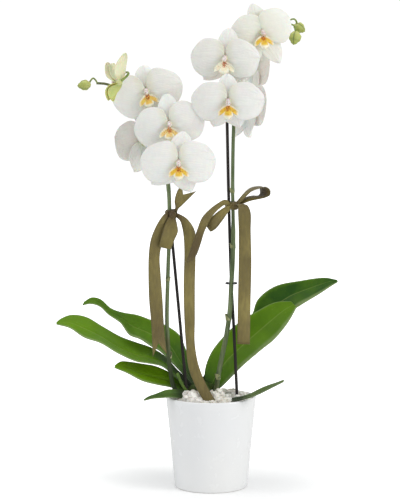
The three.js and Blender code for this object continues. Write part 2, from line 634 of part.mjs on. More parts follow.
const RIGHT_RIBBON = [
  {
    steps: 9,
    rows: [
      [[30, -8, 406], [30, -9, 401]], [[20, -14, 412], [21, -15, 405]], [[9, -19, 407], [11, -21, 399]],
      [[-3, -22, 398], [1, -25, 388]], [[-13, -24, 387], [-6, -28, 375]], [[-19, -25, 372], [-10, -30, 366]],
      [[-24, -26, 357], [-14, -30, 353]], [[-30, -27, 340], [-20, -30, 336]], [[-35, -28, 323], [-26, -30, 326]],
    ],
  },
  {
    steps: 10,
    rows: [
      [[30, -9, 406], [30, -10, 400]], [[20, -15, 402], [23, -17, 393]], [[9, -20, 395], [14, -23, 384]],
      [[-2, -22, 385], [5, -26, 372]], [[-7, -18, 377], [-1, -21, 367]], [[-3, -12, 382], [6, -13, 370]],
      [[9, -10, 392], [16, -11, 382]], [[24, -8.5, 403], [26, -8.5, 397]],
    ],
  },
  {
    steps: 14,
    rows: [
      [[36, -10, 403], [36, -4, 409]], [[42, -15, 409], [42, -4, 416]], [[50, -18, 418], [50, -3, 424]],
      [[58, -19, 425], [57, -2, 428.5]], [[68, -20, 428.5], [65, -2, 430]], [[77, -20, 430], [69, -1, 429]],
      [[83, -20, 426], [70, 0, 425]], [[83.5, -20, 419], [69.5, 0, 420.5]], [[77, -20, 415], [67, -1, 418]],
      [[67, -19, 412.5], [60, -2, 418]], [[56, -16, 410], [52, -3, 416.5]], [[46, -12, 406], [44, -4, 412.5]],
      [[37, -9, 401], [37, -5, 406]],
    ],
  },
  {
    steps: 9,
    rows: [
      [[31, -8, 404], [39, -4, 404]], [[35, -14, 405], [49, -12, 405]], [[38, -19, 403], [53, -19, 402]],
      [[38, -21.5, 395], [56, -22, 393]], [[39, -22, 369], [56, -23, 369]], [[39, -22, 324], [57, -23, 324]],
      [[38, -21, 270], [56, -22, 270]], [[37, -20, 207], [55, -21, 207]],
    ],
  },
];
const LEFT_KNOT = [
  { at: [-58, -0.5, 391], radii: [8.5, 9, 6.5] },
  { at: [-54.5, -9, 388], radii: [5.4, 4.6, 8.6], detail: 0 },
];
const RIGHT_KNOT = [
  { at: [29.5, -1, 403], radii: [10, 9.2, 6] },
  { at: [33, -8.5, 403], radii: [6.9, 4.6, 6], detail: 0 },
];
const RIBBON_UP = new THREE.Vector3(0, -1, 0);

const strip = ({ rows, steps, notch }) =>
  blade(edged(rows, 0, RIBBON_UP, notch), steps, notch ? 2 : 1, RIBBON.thickness);
const ribbonBody = (strips, knots, cutters) =>
  largest(trim(fuse([...strips.map(strip), ...knots.map((k) => ellipsoid(k.at, k.radii, k.detail))]), cutters));

// ---- assembly -----------------------------------------------------------------------------------
const plant = new THREE.Group();
plant.name = "potted_orchid";
const crownClear = crownBody(SEAT);
const stakesClear = [stakeBody(LEFT_STAKE, SEAT), stakeBody(RIGHT_STAKE, SEAT)];
const spikesClear = [spikeCore(LEFT_SPIKE, SEAT), spikeCore(RIGHT_SPIKE, SEAT)];

function addPot() {
  const rimLeaves = [LEAVES.leaf_over_left_rim, LEAVES.leaf_over_right_rim].map((rows) => leafBody(rows, 3 * SEAT));
  const tailRows = LEFT_RIBBON[3].rows.map((row, i, all) =>
    i < all.length - 1 ? row : row.map(([x, y, z]) => [x + 0.6, y - 0.3, z - 1]),
  );
  const tailFace = widened(edged(tailRows, 0, RIBBON_UP), 0.1);
  const tail = blade(tailFace, 12, 1, RIBBON.thickness + 4 * SEAT);
  const stubClear = stubBody(SEAT);
  plant.add(mesh("pot", potBody(), WHITE_CERAMIC));
  plant.add(mesh("bark_fill", barkBody([crownClear, ...stakesClear]), BARK_BROWN));
  const cutters = [crownClear, stubClear, tail, ...stakesClear, ...spikesClear, ...rimLeaves];
  plant.add(mesh("white_pebbles", pebbleBed(cutters), PEBBLE_WHITE));
}

function addFoliage() {
  plant.add(mesh("crown", crownBody().add(stubBody()), CROWN_GREEN));
  for (const [name, rows] of Object.entries(LEAVES))
    plant.add(mesh(name, largest(leafBody(rows).subtract(crownClear)), LEAF_GREEN));
}

function spikeBody(points, joints, carried, buds) {
  const parts = [spikeCore(points), ...joints.map(([at, radius]) => joint(at, radius))];
  const stalks = [...carried.map(pedicel), ...buds.map(budStalk)];
  return largest(fuse([...parts, ...stalks]).subtract(crownClear));
}

function addSpikes() {
  const onLeft = BLOOMS.filter(({ name, young }) => name.startsWith("left") || young);
  const onRight = BLOOMS.filter(({ name }) => name.startsWith("right"));
  plant.add(mesh("spike_left", spikeBody(LEFT_SPIKE, LEFT_JOINTS, onLeft, [BUDS[0]]), STEM_GREEN));
  plant.add(mesh("spike_right", spikeBody(RIGHT_SPIKE, RIGHT_JOINTS, onRight, BUDS.slice(1)), STEM_GREEN));
  plant.add(mesh("stake_left", stakeBody(LEFT_STAKE), STAKE_DARK));
  plant.add(mesh("stake_right", stakeBody(RIGHT_STAKE), STAKE_DARK));
  const grip = clipBody([29, -4.4, 292], [29, 2.2, 292], [spikesClear[1], stakesClear[1]]);
  plant.add(mesh("stake_clip", grip, CLIP_DARK));
}

function addBlooms() {
  const lip = lipBody();
  for (const bloom of BLOOMS) {
    const stand = new THREE.Group();
    const tilt = new THREE.Group();
    stand.position.set(...bloom.at);
    stand.rotation.z = rad(bloom.yaw);
    tilt.rotation.set(Math.PI / 2 + rad(bloom.nod), 0, rad(bloom.roll));
    tilt.add(mesh("bloom_" + bloom.name, bloomBody(bloom), PETAL_WHITE));
    if (!bloom.young) tilt.add(mesh("lip_" + bloom.name, lip, LIP_YELLOW));
    plant.add(stand.add(tilt));
  }
  for (const bud of BUDS) plant.add(mesh(bud.name, budBody(bud), BUD_GREEN));
}

function addRibbons() {
  const left = ribbonBody(LEFT_RIBBON, LEFT_KNOT, [spikesClear[0], stakesClear[0]]);
  const right = ribbonBody(RIGHT_RIBBON, RIGHT_KNOT, [spikesClear[1], stakesClear[1]]);
  plant.add(mesh("ribbon_left", left, RIBBON_OLIVE));
  plant.add(mesh("ribbon_right", right, RIBBON_OLIVE));
}

addPot();
addFoliage();
addSpikes();
addBlooms();
addRibbons();

export default plant;
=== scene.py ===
import math
import random

import bpy
from bpy.props import FloatProperty, FloatVectorProperty, IntProperty, PointerProperty
from mathutils import Matrix, Vector


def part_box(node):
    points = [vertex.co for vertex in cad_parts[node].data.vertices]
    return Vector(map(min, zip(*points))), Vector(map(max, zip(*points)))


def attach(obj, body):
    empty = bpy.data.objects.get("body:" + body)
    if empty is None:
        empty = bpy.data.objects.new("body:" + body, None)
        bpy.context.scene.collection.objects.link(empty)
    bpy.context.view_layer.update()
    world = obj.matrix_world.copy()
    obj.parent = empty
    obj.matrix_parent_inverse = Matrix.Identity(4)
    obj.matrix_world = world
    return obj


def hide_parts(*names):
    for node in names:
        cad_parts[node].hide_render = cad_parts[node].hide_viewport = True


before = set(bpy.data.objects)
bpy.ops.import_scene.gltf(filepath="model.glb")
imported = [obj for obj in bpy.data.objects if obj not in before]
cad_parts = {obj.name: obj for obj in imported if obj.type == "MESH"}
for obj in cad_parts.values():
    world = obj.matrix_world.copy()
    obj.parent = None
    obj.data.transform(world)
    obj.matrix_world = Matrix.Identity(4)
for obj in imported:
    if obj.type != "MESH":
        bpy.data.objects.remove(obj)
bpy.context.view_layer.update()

bl_info = {
    "name": "Potted Moth Orchid",
    "version": (1, 0, 0),
    "blender": (4, 5, 0),
    "location": "3D View > Sidebar > Orchid",
    "description": "Models a white moth orchid with two ribboned flower spikes in a ceramic pot",
    "category": "Add Mesh",
}

MM = 0.001  # the places below are in millimetres, and Blender's are in metres
POT_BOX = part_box("pot")
POT_HEIGHT = POT_BOX[1][2] / MM
POT_TOP_RADIUS = POT_BOX[1][0] / MM
POT_BASE_RADIUS = 0.8 * POT_TOP_RADIUS
CROWN_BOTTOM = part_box("crown")[0][2] / MM + 1
CROWN_TOP = 151
FULL_TURN = 6.3  # the range of random turns and of where waves start
BRACT_SEED = 8  # changes how the bracts turn

# ---- where things grow, as (X to the right, Y away from the viewer, Z up) ----------------------

# The pot's underside: distance in from the base radius, and height, over the groove to the foot ring.
POT_UNDERSIDE = [(9, 0), (8.6, 0.8), (5, 0.8), (4.6, 0), (2, 0)]
POT_CORNER = 2.2  # radius of the curve from the foot ring into the wall

# The stones: the height where they start, the lowest that a stone lies, and their level under the rim.
STONES_FROM = 114
STONES_LOWEST = 117
STONES_LEVEL = 123
# The heaps of stones at the front: X, Y, height, and how far each spreads.
HEAPS = [(-24, -26, 14, 230), (8, -24, 12, 220)]

# The crown: X of its middle, how deep it is for its width, and its half width by share of its height.
CROWN_MIDDLE = -13
CROWN_DEPTH_SHARE = 12 / 22
CROWN_SWELL = [(0, 7), (0.35, 9), (0.55, 15), (0.72, 21), (0.84, 22), (0.93, 17), (1, 3)]
OLD_STEM = [(-21, -8, 127), (-30, -14.5, 133), (-37, -15.5, 142), (-43, -16, 152), (-48, -17, 165)]

# Each leaf: pairs of far edge and near edge points, from the crown to the tip.
LEAVES = {
    "leaf_upper_left": [
        [(-18, 8, 146), (-27, -3, 146)], [(-28, 26, 169), (-45, 6, 165)],
        [(-36, 38, 191), (-60, 12, 180)], [(-46, 46, 212), (-74, 16, 192)],
        [(-66, 52, 225), (-87, 20, 198)], [(-90, 54, 233), (-103, 24, 208)],
        [(-109, 54, 240), (-118, 28, 214)], [(-128, 52, 244), (-131, 34, 231)],
        [(-146, 48, 251), (-149, 40, 242)], [(-161, 46, 264), (-162, 38, 254)],
        [(-174, 42, 267), (-175, 37, 258)], [(-185, 40, 261), (-187, 38, 256)],
    ],
    "leaf_middle_left": [
        [(-24, 8, 143), (-27, -4, 138)], [(-48, 20, 164), (-49, -3, 155)],
        [(-67, 32, 183), (-69, -3, 172)], [(-87, 38, 194), (-89, -2, 176)],
        [(-108, 42, 200), (-107, -1, 179)], [(-131, 42, 209), (-132, 0, 191)],
        [(-157, 40, 225), (-158, 2, 206)], [(-182, 34, 240), (-182, 4, 213)],
        [(-204, 26, 243), (-203, 8, 226)], [(-218, 18, 238), (-218, 12, 230)],
        [(-223, 15, 234), (-223, 13, 231)],
    ],
    "leaf_lower_left": [
        [(-24, 7, 136), (-26, -0.5, 131)], [(-56, 16, 159), (-56, -5, 142)],
        [(-78, 22, 168), (-77, -5, 146)], [(-98, 24, 172), (-97, -4, 152)],
        [(-116, 22, 176), (-116, -2, 161)], [(-130, 16, 177), (-130, 2, 166)],
        [(-138, 10, 173), (-139, 7, 169)],
    ],
    "leaf_over_left_rim": [
        [(-16, -6, 133), (-13, -10, 131)], [(-29, -18, 138), (-26, -25, 134)],
        [(-44, -20, 142), (-42, -32, 132)], [(-61, -24, 142), (-62, -42, 134)],
        [(-75, -34, 140), (-76, -48, 135)], [(-87, -44, 137), (-87, -51, 133)],
        [(-94, -52, 134), (-94, -54, 132)],
    ],
    "leaf_front_right": [
        [(-7, 4, 138), (2, -5, 133)], [(-9, 11, 163), (17, -3, 145)],
        [(0, 22, 189), (42, 0, 170)], [(20, 30, 213), (73, 2, 196)],
        [(38, 32, 229), (88, 4, 208)], [(67, 34, 248), (105, 8, 227)],
        [(93, 32, 261), (115, 14, 240)], [(116, 26, 263), (124, 21, 255)],
    ],
    "leaf_rear_right": [
        [(-17, 9.5, 146), (-9, 10, 141)], [(2, 33, 174), (20, 20, 163)],
        [(28, 44, 208), (54, 22, 193)], [(59, 54, 239), (83, 30, 224)],
        [(69, 58, 262), (108, 34, 241)], [(94, 60, 281), (134, 38, 258)],
        [(131, 58, 290), (159, 42, 273)], [(167, 54, 295), (177, 46, 284)],
        [(185, 50, 292), (186, 49, 289)],
    ],
    "leaf_over_right_rim": [
        [(-6, -5, 129.5), (-9, -9, 129)], [(21, -21, 129), (15, -31, 127)],
        [(45, -37, 136.5), (39, -49, 132)], [(65, -46, 145.5), (58, -60, 138.5)],
        [(85, -54, 155.5), (79, -66, 150)], [(101, -63, 163), (99, -67, 160)],
    ],
}
LEAF_UP = Vector((0, -0.7, 0.7))
# Where the leaves over the rim pass into the shade among the stones: X of its start, X where it is full.
SHADED = {"leaf_over_left_rim": (-58, -44), "leaf_over_right_rim": (58, 42)}
# How far some leaves' green is mixed with grey.
GREYNESS = {"leaf_over_right_rim": 0.75, "leaf_over_left_rim": 0.3}
# How light and yellow each leaf's green is.
FRESHNESS = {
    "leaf_upper_left": 0.45,
    "leaf_middle_left": 0.65,
    "leaf_lower_left": 1.15,
    "leaf_over_left_rim": 0.15,
    "leaf_front_right": 0.6,
    "leaf_rear_right": 0.1,
    "leaf_over_right_rim": 0.6,
}

SPIKES = {
    "spike_left": [
        (-28, -3, 127), (-44, -8, 133), (-53, -11, 144), (-58, -11, 166), (-61, -10, 197), (-63, -8, 240),
        (-62, -6, 290), (-60, -3, 354), (-59.5, -2, 391), (-60, -2, 418), (-62, -2, 440), (-66, -1, 468),
        (-76, 2, 494), (-89, 6, 517), (-105, 10, 540), (-121, 15, 559), (-135, 20, 571), (-151, 20, 577),
        (-164, 15, 578),
    ],
    "spike_right": [
        (0, -5, 130), (7, -9, 141), (10, -11, 159), (14, -11, 180), (22, -9, 219), (27, -6, 256),
        (29, -4.4, 292), (31, -3.5, 325), (31.7, -3, 368), (31.2, -3, 401), (30.7, -3, 425), (31, -2, 468),
        (32, -2, 511), (33, 0, 540), (37, 2, 569), (43, 5, 592), (53, 8, 615), (66, 10, 635), (82, 11, 651),
        (99, 10, 661), (108, 8, 663),
    ],
}
# Stem radius by share of the spike's length.
SPIKE_RADII = {
    "spike_left": [(0, 3.2), (0.4, 2.8), (0.62, 3.0), (1, 1.8)],
    "spike_right": [(0, 3.5), (0.42, 3.3), (0.455, 2.6), (0.65, 2.5), (1, 1.8)],
}
# Joints of each spike: place, stem radius there, and how far the bract reaches up.
JOINTS = {
    "spike_left": [((-59.6, -9.8, 188), 3.0, 9), ((-61.9, -5.8, 298), 2.8, 6), ((-62, -2, 440), 2.9, 7)],
    "spike_right": [
        ((9.8, -10.8, 158), 3.3, 8), ((24.6, -7.5, 242), 3.4, 9), ((31.4, -3, 345), 3.3, 7),
        ((30.7, -3, 424), 3.0, 7),
    ],
}
# The blooms and the buds that each spike carries.
CARRIED = {
    "spike_left": (["left_1", "left_2", "left_3", "left_4", "half_open"], ["bud_left"]),
    "spike_right": (
        ["right_1", "right_2", "right_3", "right_4", "right_5"], ["bud_right_upper", "bud_right_lower"]
    ),
}
# How deep the painted shade is on each stem down among the leaves.
FOOT_SHADE = {"spike_left": 0.85, "spike_right": 0.35}
STAKE_RADIUS = 2.2
STAKES = {
    "stake_left": [(-23.3, -17.5, 15), (-59.6, 3.9, 396)],
    "stake_right": [(42.5, -12, 15), (32, -2.1, 239), (29, 2.2, 292), (25.6, 3, 401), (22.7, 3.6, 531)],
}
CLIP_STEM = Vector((29, -4.4, 292))
CLIP_STAKE = Vector((29, 2.2, 292))

# Blooms: centre, yaw to the right, nod downwards, roll to the left, size, where the flower stalk starts,
# and how far the tepals are turned from upright: upper sepal, left and right petal, left and right lower
# sepal.
BLOOMS = {
    "left_1": ((-91, -20, 565), 0, 14, 15, 1.0, (-107, 10, 543), (7, -94, 94, -150, 150)),
    "left_2": ((-59, -38, 519), 3, 14, 1, 0.98, (-85, 5, 510), (-2, -102, 80, -150, 150)),
    "left_3": ((-98, 20, 491), -146, 8, 0, 0.98, (-78, 2.5, 497), (0, -80, 80, -150, 150)),
    "left_4": ((-46, -56, 465), 5, 16, 0, 1.03, (-63, -2, 446), (12, -88, 86, -134, 156)),
    "right_1": ((71.5, -20, 647.5), 14, 12, 4, 0.9, (78, 10.6, 647), (-17, -88, 62, -158, 146)),
    "right_2": ((19, -36, 611), -6, 18, -2, 0.95, (45, 5.6, 598), (10, -89, 90, -140, 146)),
    "right_3": ((60, 32, 597.5), 125, 8, 0, 0.88, (52, 7.6, 612), (0, -80, 80, -150, 150)),
    "right_4": ((23, -52, 551), 1, 28, 1, 1.0, (33, 0, 541), (-3, -89, 90, -157, 157)),
    "right_5": ((54, 8, 541), 121, 8, 0, 1.0, (32.5, -1, 525), (0, -80, 80, -150, 150)),
    "half_open": ((-128.5, -57, 577), -130, 0, 0, 1.0, (-134, 19.7, 570.5), (0, -14, 14, -171, 171)),
}
# How much longer or shorter some blooms' upper sepal is.
TALL = {"left_1": 0.86, "right_1": 1.12, "right_2": 1.05, "right_4": 0.85}
LONG = {"right_1": 1.25}  # the same for the lower sepals
# The bends of the half-open bloom's stalk on its way over its neighbour.
HALF_OPEN_STALK = [(-131, 6, 586), (-128.5, -22, 589), (-117, -46, 591), (-115.5, -62, 587)]
# How green each bloom's white still is, from 0 to 1.
YOUTH = {"left_1": 0.1, "right_1": 0.4, "right_2": 0.08, "right_3": 0.12}
# How far some blooms' lips have lost their yellow.
PALE_LIPS = {"right_2": 0.8, "left_2": 0.25, "left_1": 0.1}

# Buds: centre, the way the tip points, length, radius, and the stalk from the spike over a small arch.
BUDS = {
    "bud_left": (
        (-181.5, 10, 575), (-0.97, -0.2, -0.12), 20, 8,
        [(-163, 15, 578), (-165.5, 14, 582.5), (-169, 13, 585), (-172, 12.3, 582)],
    ),
    "bud_right_upper": (
        (127, 19, 657), (0.75, -0.2, -0.5), 19, 8.2,
        [(106, 8, 663), (113, 11, 668), (119, 15, 669.5), (122.5, 18, 666)],
    ),
    "bud_right_lower": (
        (119.5, 5, 642), (-0.2, -0.2, -0.9), 21, 9.4, [(104, 9, 662.5), (113, 6.5, 662), (119, 6, 658.5)],
    ),
}
# A bud's radius by share of its length, from the stalk to the tip, 1 being the radius in the list.
BUD_SWELL = [(0, 0.12), (0.1, 0.55), (0.35, 0.97), (0.6, 0.9), (0.85, 0.5), (1, 0.06)]

# Tepals in a bloom's own frame, which is in millimetres, faces +Z and has its upper sepal at +Y. low and
# high shape the outline at the heart and at the tip, broad widens the side towards the upper sepal, level
# is the height at the heart, rise the cup, recurve and edge how far the tip and the sides bend back, and
# lift how far the tepal still stands towards the middle, in degrees.
UPPER = {
    "length": 41, "width": 31, "low": 0.55, "high": 0.62, "broad": False,
    "level": -3, "rise": 1, "recurve": 8, "edge": 3, "lift": 0,
}
LOWER = {**UPPER, "length": 48, "width": 34, "recurve": 3, "high": 0.76}
PETAL = {
    **UPPER, "length": 51, "width": 61, "high": 0.5, "broad": True,
    "level": 0, "rise": 3, "recurve": 4, "edge": 1.2,
}
YOUNG_UPPER = {**UPPER, "length": 39, "width": 22, "lift": 4}
YOUNG_LOWER = {**LOWER, "length": 30, "width": 25, "rise": 7, "recurve": -3, "lift": 34}
YOUNG_PETAL = {**PETAL, "length": 32, "width": 20, "broad": False, "lift": 40}
COLUMN = [(0, 2.6, 0), (0, 2.4, 5), (0, 0.8, 9), (0, -2, 11.5)]
# The lip: where its side lobes start beside the middle, how far they reach, and its right thread.
LOBE_ROOT = 0.6
LOBE_LENGTH = 13.4
TENDRIL = [(0.8, -19.6, 15), (2.4, -22, 14.4), (4.6, -21.6, 11.5), (5, -19, 9.6)]

# Folds of each ribbon that lie in shade: place, reach, and how deep the shade is.
FOLDS = {
    "ribbon_left": [
        ((-56, -8, 393), 7, 0.9), ((-61, -12, 391), 8, 0.6), ((-45, -12, 389), 8, 0.7),
        ((-60, -10, 372), 9, 0.7), ((-53, -9, 405), 8, 0.5), ((-80, -16, 230), 40, 0.35),
        ((-9, -30, 150), 22, 0.3),
    ],
    "ribbon_right": [
        ((34, -8, 404), 8, 1.0), ((-18, -27, 360), 13, 0.5), ((-27, -29, 338), 20, 0.8),
        ((78, -10, 422), 11, 0.9), ((3, -12, 378), 8, 0.9), ((45, -18, 403), 10, 0.3),
        ((47, -21, 190), 30, 0.3),
    ],
}

# Ribbon strips: the depth of a swallow-tail cut over the length, and pairs of edge points from the knot to
# the cut end.
RIBBONS = {
    "ribbon_left": [
        (0.05, [
            [(-61, -8, 396), (-57, -7, 388)], [(-69, -13, 389), (-60, -9, 381)],
            [(-79, -18, 373), (-65, -11, 365)], [(-86, -20, 354), (-70, -14, 349)],
            [(-88.5, -20, 332), (-73, -18, 331)], [(-89, -18, 305), (-71.5, -21, 306)],
            [(-88, -14, 269), (-69, -22, 270)], [(-85, -14, 234), (-67, -21, 234)],
            [(-83, -14, 188), (-63, -20, 193)],
        ]),
        (0, [
            [(-58, -10, 391), (-51, -10, 387)], [(-65, -17, 378), (-48, -18, 376)],
            [(-69, -21, 365), (-47, -23, 367)], [(-72, -22, 354), (-52, -24, 355)],
            [(-74, -18, 346), (-57, -19, 342)], [(-73, -12, 350), (-56, -12, 350)],
            [(-67, -10, 366), (-53, -10.5, 367)], [(-59, -8.5, 386), (-54, -8.5, 387)],
        ]),
        (0.2, [
            [(-54, -8, 391), (-49, -8, 391)], [(-51, -9, 400), (-47, -9, 398)],
            [(-52, -9, 410), (-41, -11, 404)], [(-49, -8, 422), (-33, -13, 412)],
            [(-43, -7, 432), (-21, -14, 424)],
        ]),
        (0, [
            [(-53, -8, 394), (-50, -9, 387)], [(-44, -13, 391), (-44, -12, 382)],
            [(-33, -17, 384), (-41, -13, 372)], [(-23, -19, 368), (-39, -15, 358)],
            [(-22, -18, 341), (-38, -16, 338)], [(-23, -18, 291), (-39, -18, 291)],
            [(-23, -20, 241), (-38, -19, 241)], [(-23, -23, 209), (-36, -21, 209)],
            [(-18, -27, 179), (-32, -24, 174)], [(-7, -32, 151), (-21, -29, 146)],
            [(6.5, -38.5, 129), (-10, -36, 127)],
        ]),
    ],
    "ribbon_right": [
        (0, [
            [(30, -8, 406), (30, -9, 401)], [(20, -14, 412), (21, -15, 405)],
            [(9, -19, 407), (11, -21, 399)], [(-3, -22, 398), (1, -25, 388)],
            [(-13, -24, 387), (-6, -28, 375)], [(-19, -25, 372), (-10, -30, 366)],
            [(-24, -26, 357), (-14, -30, 353)], [(-30, -27, 340), (-20, -30, 336)],
            [(-35, -28, 323), (-26, -30, 326)],
        ]),
        (0, [
            [(30, -9, 406), (30, -10, 400)], [(20, -15, 402), (23, -17, 393)],
            [(9, -20, 395), (14, -23, 384)], [(-2, -22, 385), (5, -26, 372)],
            [(-7, -18, 377), (-1, -21, 367)], [(-3, -12, 382), (6, -13, 370)],
            [(9, -10, 392), (16, -11, 382)], [(24, -8.5, 403), (26, -8.5, 397)],
        ]),
        (0, [
            [(36, -10, 403), (36, -4, 409)], [(42, -15, 409), (42, -4, 416)],
            [(50, -18, 418), (50, -3, 424)], [(58, -19, 425), (57, -2, 428.5)],
            [(68, -20, 428.5), (65, -2, 430)], [(77, -20, 430), (69, -1, 429)],
            [(83, -20, 426), (70, 0, 425)], [(83.5, -20, 419), (69.5, 0, 420.5)],
            [(77, -20, 415), (67, -1, 418)], [(67, -19, 412.5), (60, -2, 418)],
            [(56, -16, 410), (52, -3, 416.5)], [(46, -12, 406), (44, -4, 412.5)],
            [(37, -9, 401), (37, -5, 406)],
        ]),
        (0, [
            [(31, -8, 404), (39, -4, 404)], [(35, -14, 405), (49, -12, 405)],
            [(38, -19, 403), (53, -19, 402)], [(38, -21.5, 395), (56, -22, 393)],
            [(39, -22, 369), (56, -23, 369)], [(39, -22, 324), (57, -23, 324)],
            [(38, -21, 270), (56, -22, 270)], [(37, -20, 207), (55, -21, 207)],
        ]),
    ],
}
# Knots: centre, half sizes, and the axis that the band turns round.
KNOTS = {
    "ribbon_left": [((-58, -0.5, 391), (8, 8.6, 6.5), "Z"), ((-54.5, -8, 389), (5, 5, 7.5), "X")],
    "ribbon_right": [((29.5, -1, 403), (9.4, 8.6, 5.5), "Z"), ((33, -7.5, 403), (6, 5, 6), "X")],
}
RIBBON_WIDTH = 20  # of the flat satin
RIBBON_UP = Vector((0, -1, 0))


# ---- lines and surfaces ------------------------------------------------------------------------
def clamp(value):
    """The value, kept between 0 and 1."""
    return min(1, max(0, value))


def smooth_steps(pairs, share):
    """The value at share of a line through (share, value) pairs, eased between them."""
    for (s0, a), (s1, b) in zip(pairs, pairs[1:]):
        if share <= s1:
            t = (share - s0) / (s1 - s0)
            return a + (b - a) * t * t * (3 - 2 * t)
    return pairs[-1][1]


def spline(points):
    """A smooth line through given points, as a function of its share from 0 to 1."""
    knots = [Vector(point) for point in points]
    knots = [2 * knots[0] - knots[1], *knots, 2 * knots[-1] - knots[-2]]
    spans = len(points) - 1

    def at(share):
        place = clamp(share) * spans
        first = min(int(place), spans - 1)
        t = place - first
        a, b, c, d = knots[first:first + 4]
        ab, bc, cd = (math.sqrt((q - p).length) for p, q in ((a, b), (b, c), (c, d)))
        leave = ((b - a) / ab - (c - a) / (ab + bc) + (c - b) / bc) * bc
        arrive = ((c - b) / bc - (d - b) / (bc + cd) + (d - c) / cd) * bc
        curve = t * t * (3 * (c - b) - 2 * leave - arrive)
        return b + t * leave + curve + t ** 3 * (2 * (b - c) + leave + arrive)

    return at


def evenly(line, steps):
    """steps + 1 places along a line, the same distance apart."""
    pieces = 400
    fine = [line(i / pieces) for i in range(pieces + 1)]
    run = [0.0]
    for before, after in zip(fine, fine[1:]):
        run.append(run[-1] + (after - before).length)
    places = []
    near = 0
    for i in range(steps + 1):
        goal = run[-1] * i / steps
        while near < pieces - 1 and run[near + 1] < goal:
            near += 1
        share = (goal - run[near]) / max(run[near + 1] - run[near], 1e-9)
        places.append(fine[near].lerp(fine[near + 1], min(share, 1)))
    return places


def length_of(line):
    """How long a line is, in the unit of its points."""
    pieces = 60
    places = [line(i / pieces) for i in range(pieces + 1)]
    return sum((after - before).length for before, after in zip(places, places[1:]))


def edged(rows, cup, up, notch=0.0):
    """A surface between two edge lines, hollowed by cup times its width on the side towards up; point(u, v)
    gives a place and the direction out of the surface there."""
    first = spline([row[0] for row in rows])
    second = spline([row[1] for row in rows])

    def point(u, v):
        share = u * (1 - notch * (1 - abs(v)))
        a, b = first(share), second(share)
        across = b - a
        step = 0.004
        along = first(share + step) - first(share - step) + second(share + step) - second(share - step)
        normal = along.cross(across).normalized()
        if normal.dot(up) < 0:
            normal.negate()
        return a.lerp(b, (v + 1) / 2) - normal * (cup * across.length * (1 - v * v)), normal

    return point


# ---- modelling ---------------------------------------------------------------------------------
def clear():
    """Leaves edit mode and selects nothing."""
    if bpy.context.mode != "OBJECT":
        bpy.ops.object.mode_set(mode="OBJECT")
    bpy.ops.object.select_all(action="DESELECT")


def select_only(obj):
    """Selects one piece and makes it the active one."""
    clear()
    obj.select_set(True)
    bpy.context.view_layer.objects.active = obj


def edit_all(obj):
    """Goes into edit mode on a piece, with all of it selected."""
    select_only(obj)
    bpy.ops.object.mode_set(mode="EDIT")
    bpy.ops.mesh.select_all(action="SELECT")


def patch(name, point, rows, columns):
    """A net of faces laid over point(u, v), in millimetres; u runs 0 to 1 along, and v -1 to 1 across."""
    clear()
    bpy.ops.mesh.primitive_grid_add(x_subdivisions=columns, y_subdivisions=rows, size=2)
    obj = bpy.context.object
    obj.name = name
    for vertex in obj.data.vertices:
        vertex.co = Vector(point((vertex.co.y + 1) / 2, vertex.co.x)) * MM
    bpy.ops.object.shade_smooth()
    return obj


def stretch_uv(obj, across, along):
    """Lets the pattern repeat across and along the piece."""
    for loop in obj.data.uv_layers.active.data:
        loop.uv = (loop.uv[0] * across, loop.uv[1] * along)


def turn_over(obj):
    """Makes the faces of a sheet look the other way."""
    edit_all(obj)
    bpy.ops.mesh.flip_normals()
    bpy.ops.object.mode_set(mode="OBJECT")


def thicken(obj, thickness, edge_share=1.0, under_slot=0):
    """Turns a sheet into a thin body with edge_share of the thickness at its side edges, and gives its
    underside the material that lies under_slot places further on."""
    select_only(obj)
    bpy.ops.object.modifier_add(type="SOLIDIFY")
    modifier = obj.modifiers[-1]
    modifier.thickness = thickness * MM
    modifier.offset = 0
    modifier.material_offset = under_slot
    modifier.material_offset_rim = 0
    if edge_share < 1:
        group = obj.vertex_groups.new(name="body")
        across = {}
        for loop, corner in zip(obj.data.loops, obj.data.uv_layers.active.data):
            across[loop.vertex_index] = abs(2 * corner.uv[0] - 1)
        for index, place in across.items():
            group.add([index], 1 - place ** 3, "REPLACE")
        modifier.vertex_group = group.name
        modifier.thickness_vertex_group = edge_share
    bpy.ops.object.modifier_apply(modifier=modifier.name)


def close_tube(obj):
    """Sews the long seam of a rolled patch and closes both its ends."""
    edit_all(obj)
    bpy.ops.mesh.remove_doubles(threshold=1e-6)
    bpy.ops.mesh.select_all(action="SELECT")
    bpy.ops.mesh.fill_holes(sides=0)
    bpy.ops.mesh.select_all(action="SELECT")
    bpy.ops.mesh.normals_make_consistent(inside=False)
    bpy.ops.object.mode_set(mode="OBJECT")


def carried_frames(centres):
    """Two sideways directions at each place of a line, carried along it without a twist."""
    frames = []
    side = None
    for i in range(len(centres)):
        ahead = (centres[min(i + 1, len(centres) - 1)] - centres[max(i - 1, 0)]).normalized()
        if side is None:
            side = ahead.cross(Vector((0, 1, 0.1))).normalized()
        side = (side - ahead * side.dot(ahead)).normalized()
        frames.append((side, ahead.cross(side)))
    return frames


def tube(name, points, radius, rows, sides):
    """A round rod along the points; radius(share, angle) is in millimetres."""
    centres = evenly(spline(points), rows)
    frames = carried_frames(centres)

    def point(u, v):
        row = round(u * rows)
        angle = math.pi * (v + 1)
        side, front = frames[row]
        reach = radius(u, angle)
        return centres[row] + side * (reach * math.cos(angle)) + front * (reach * math.sin(angle))

    obj = patch(name, point, rows, sides)
    close_tube(obj)
    return obj


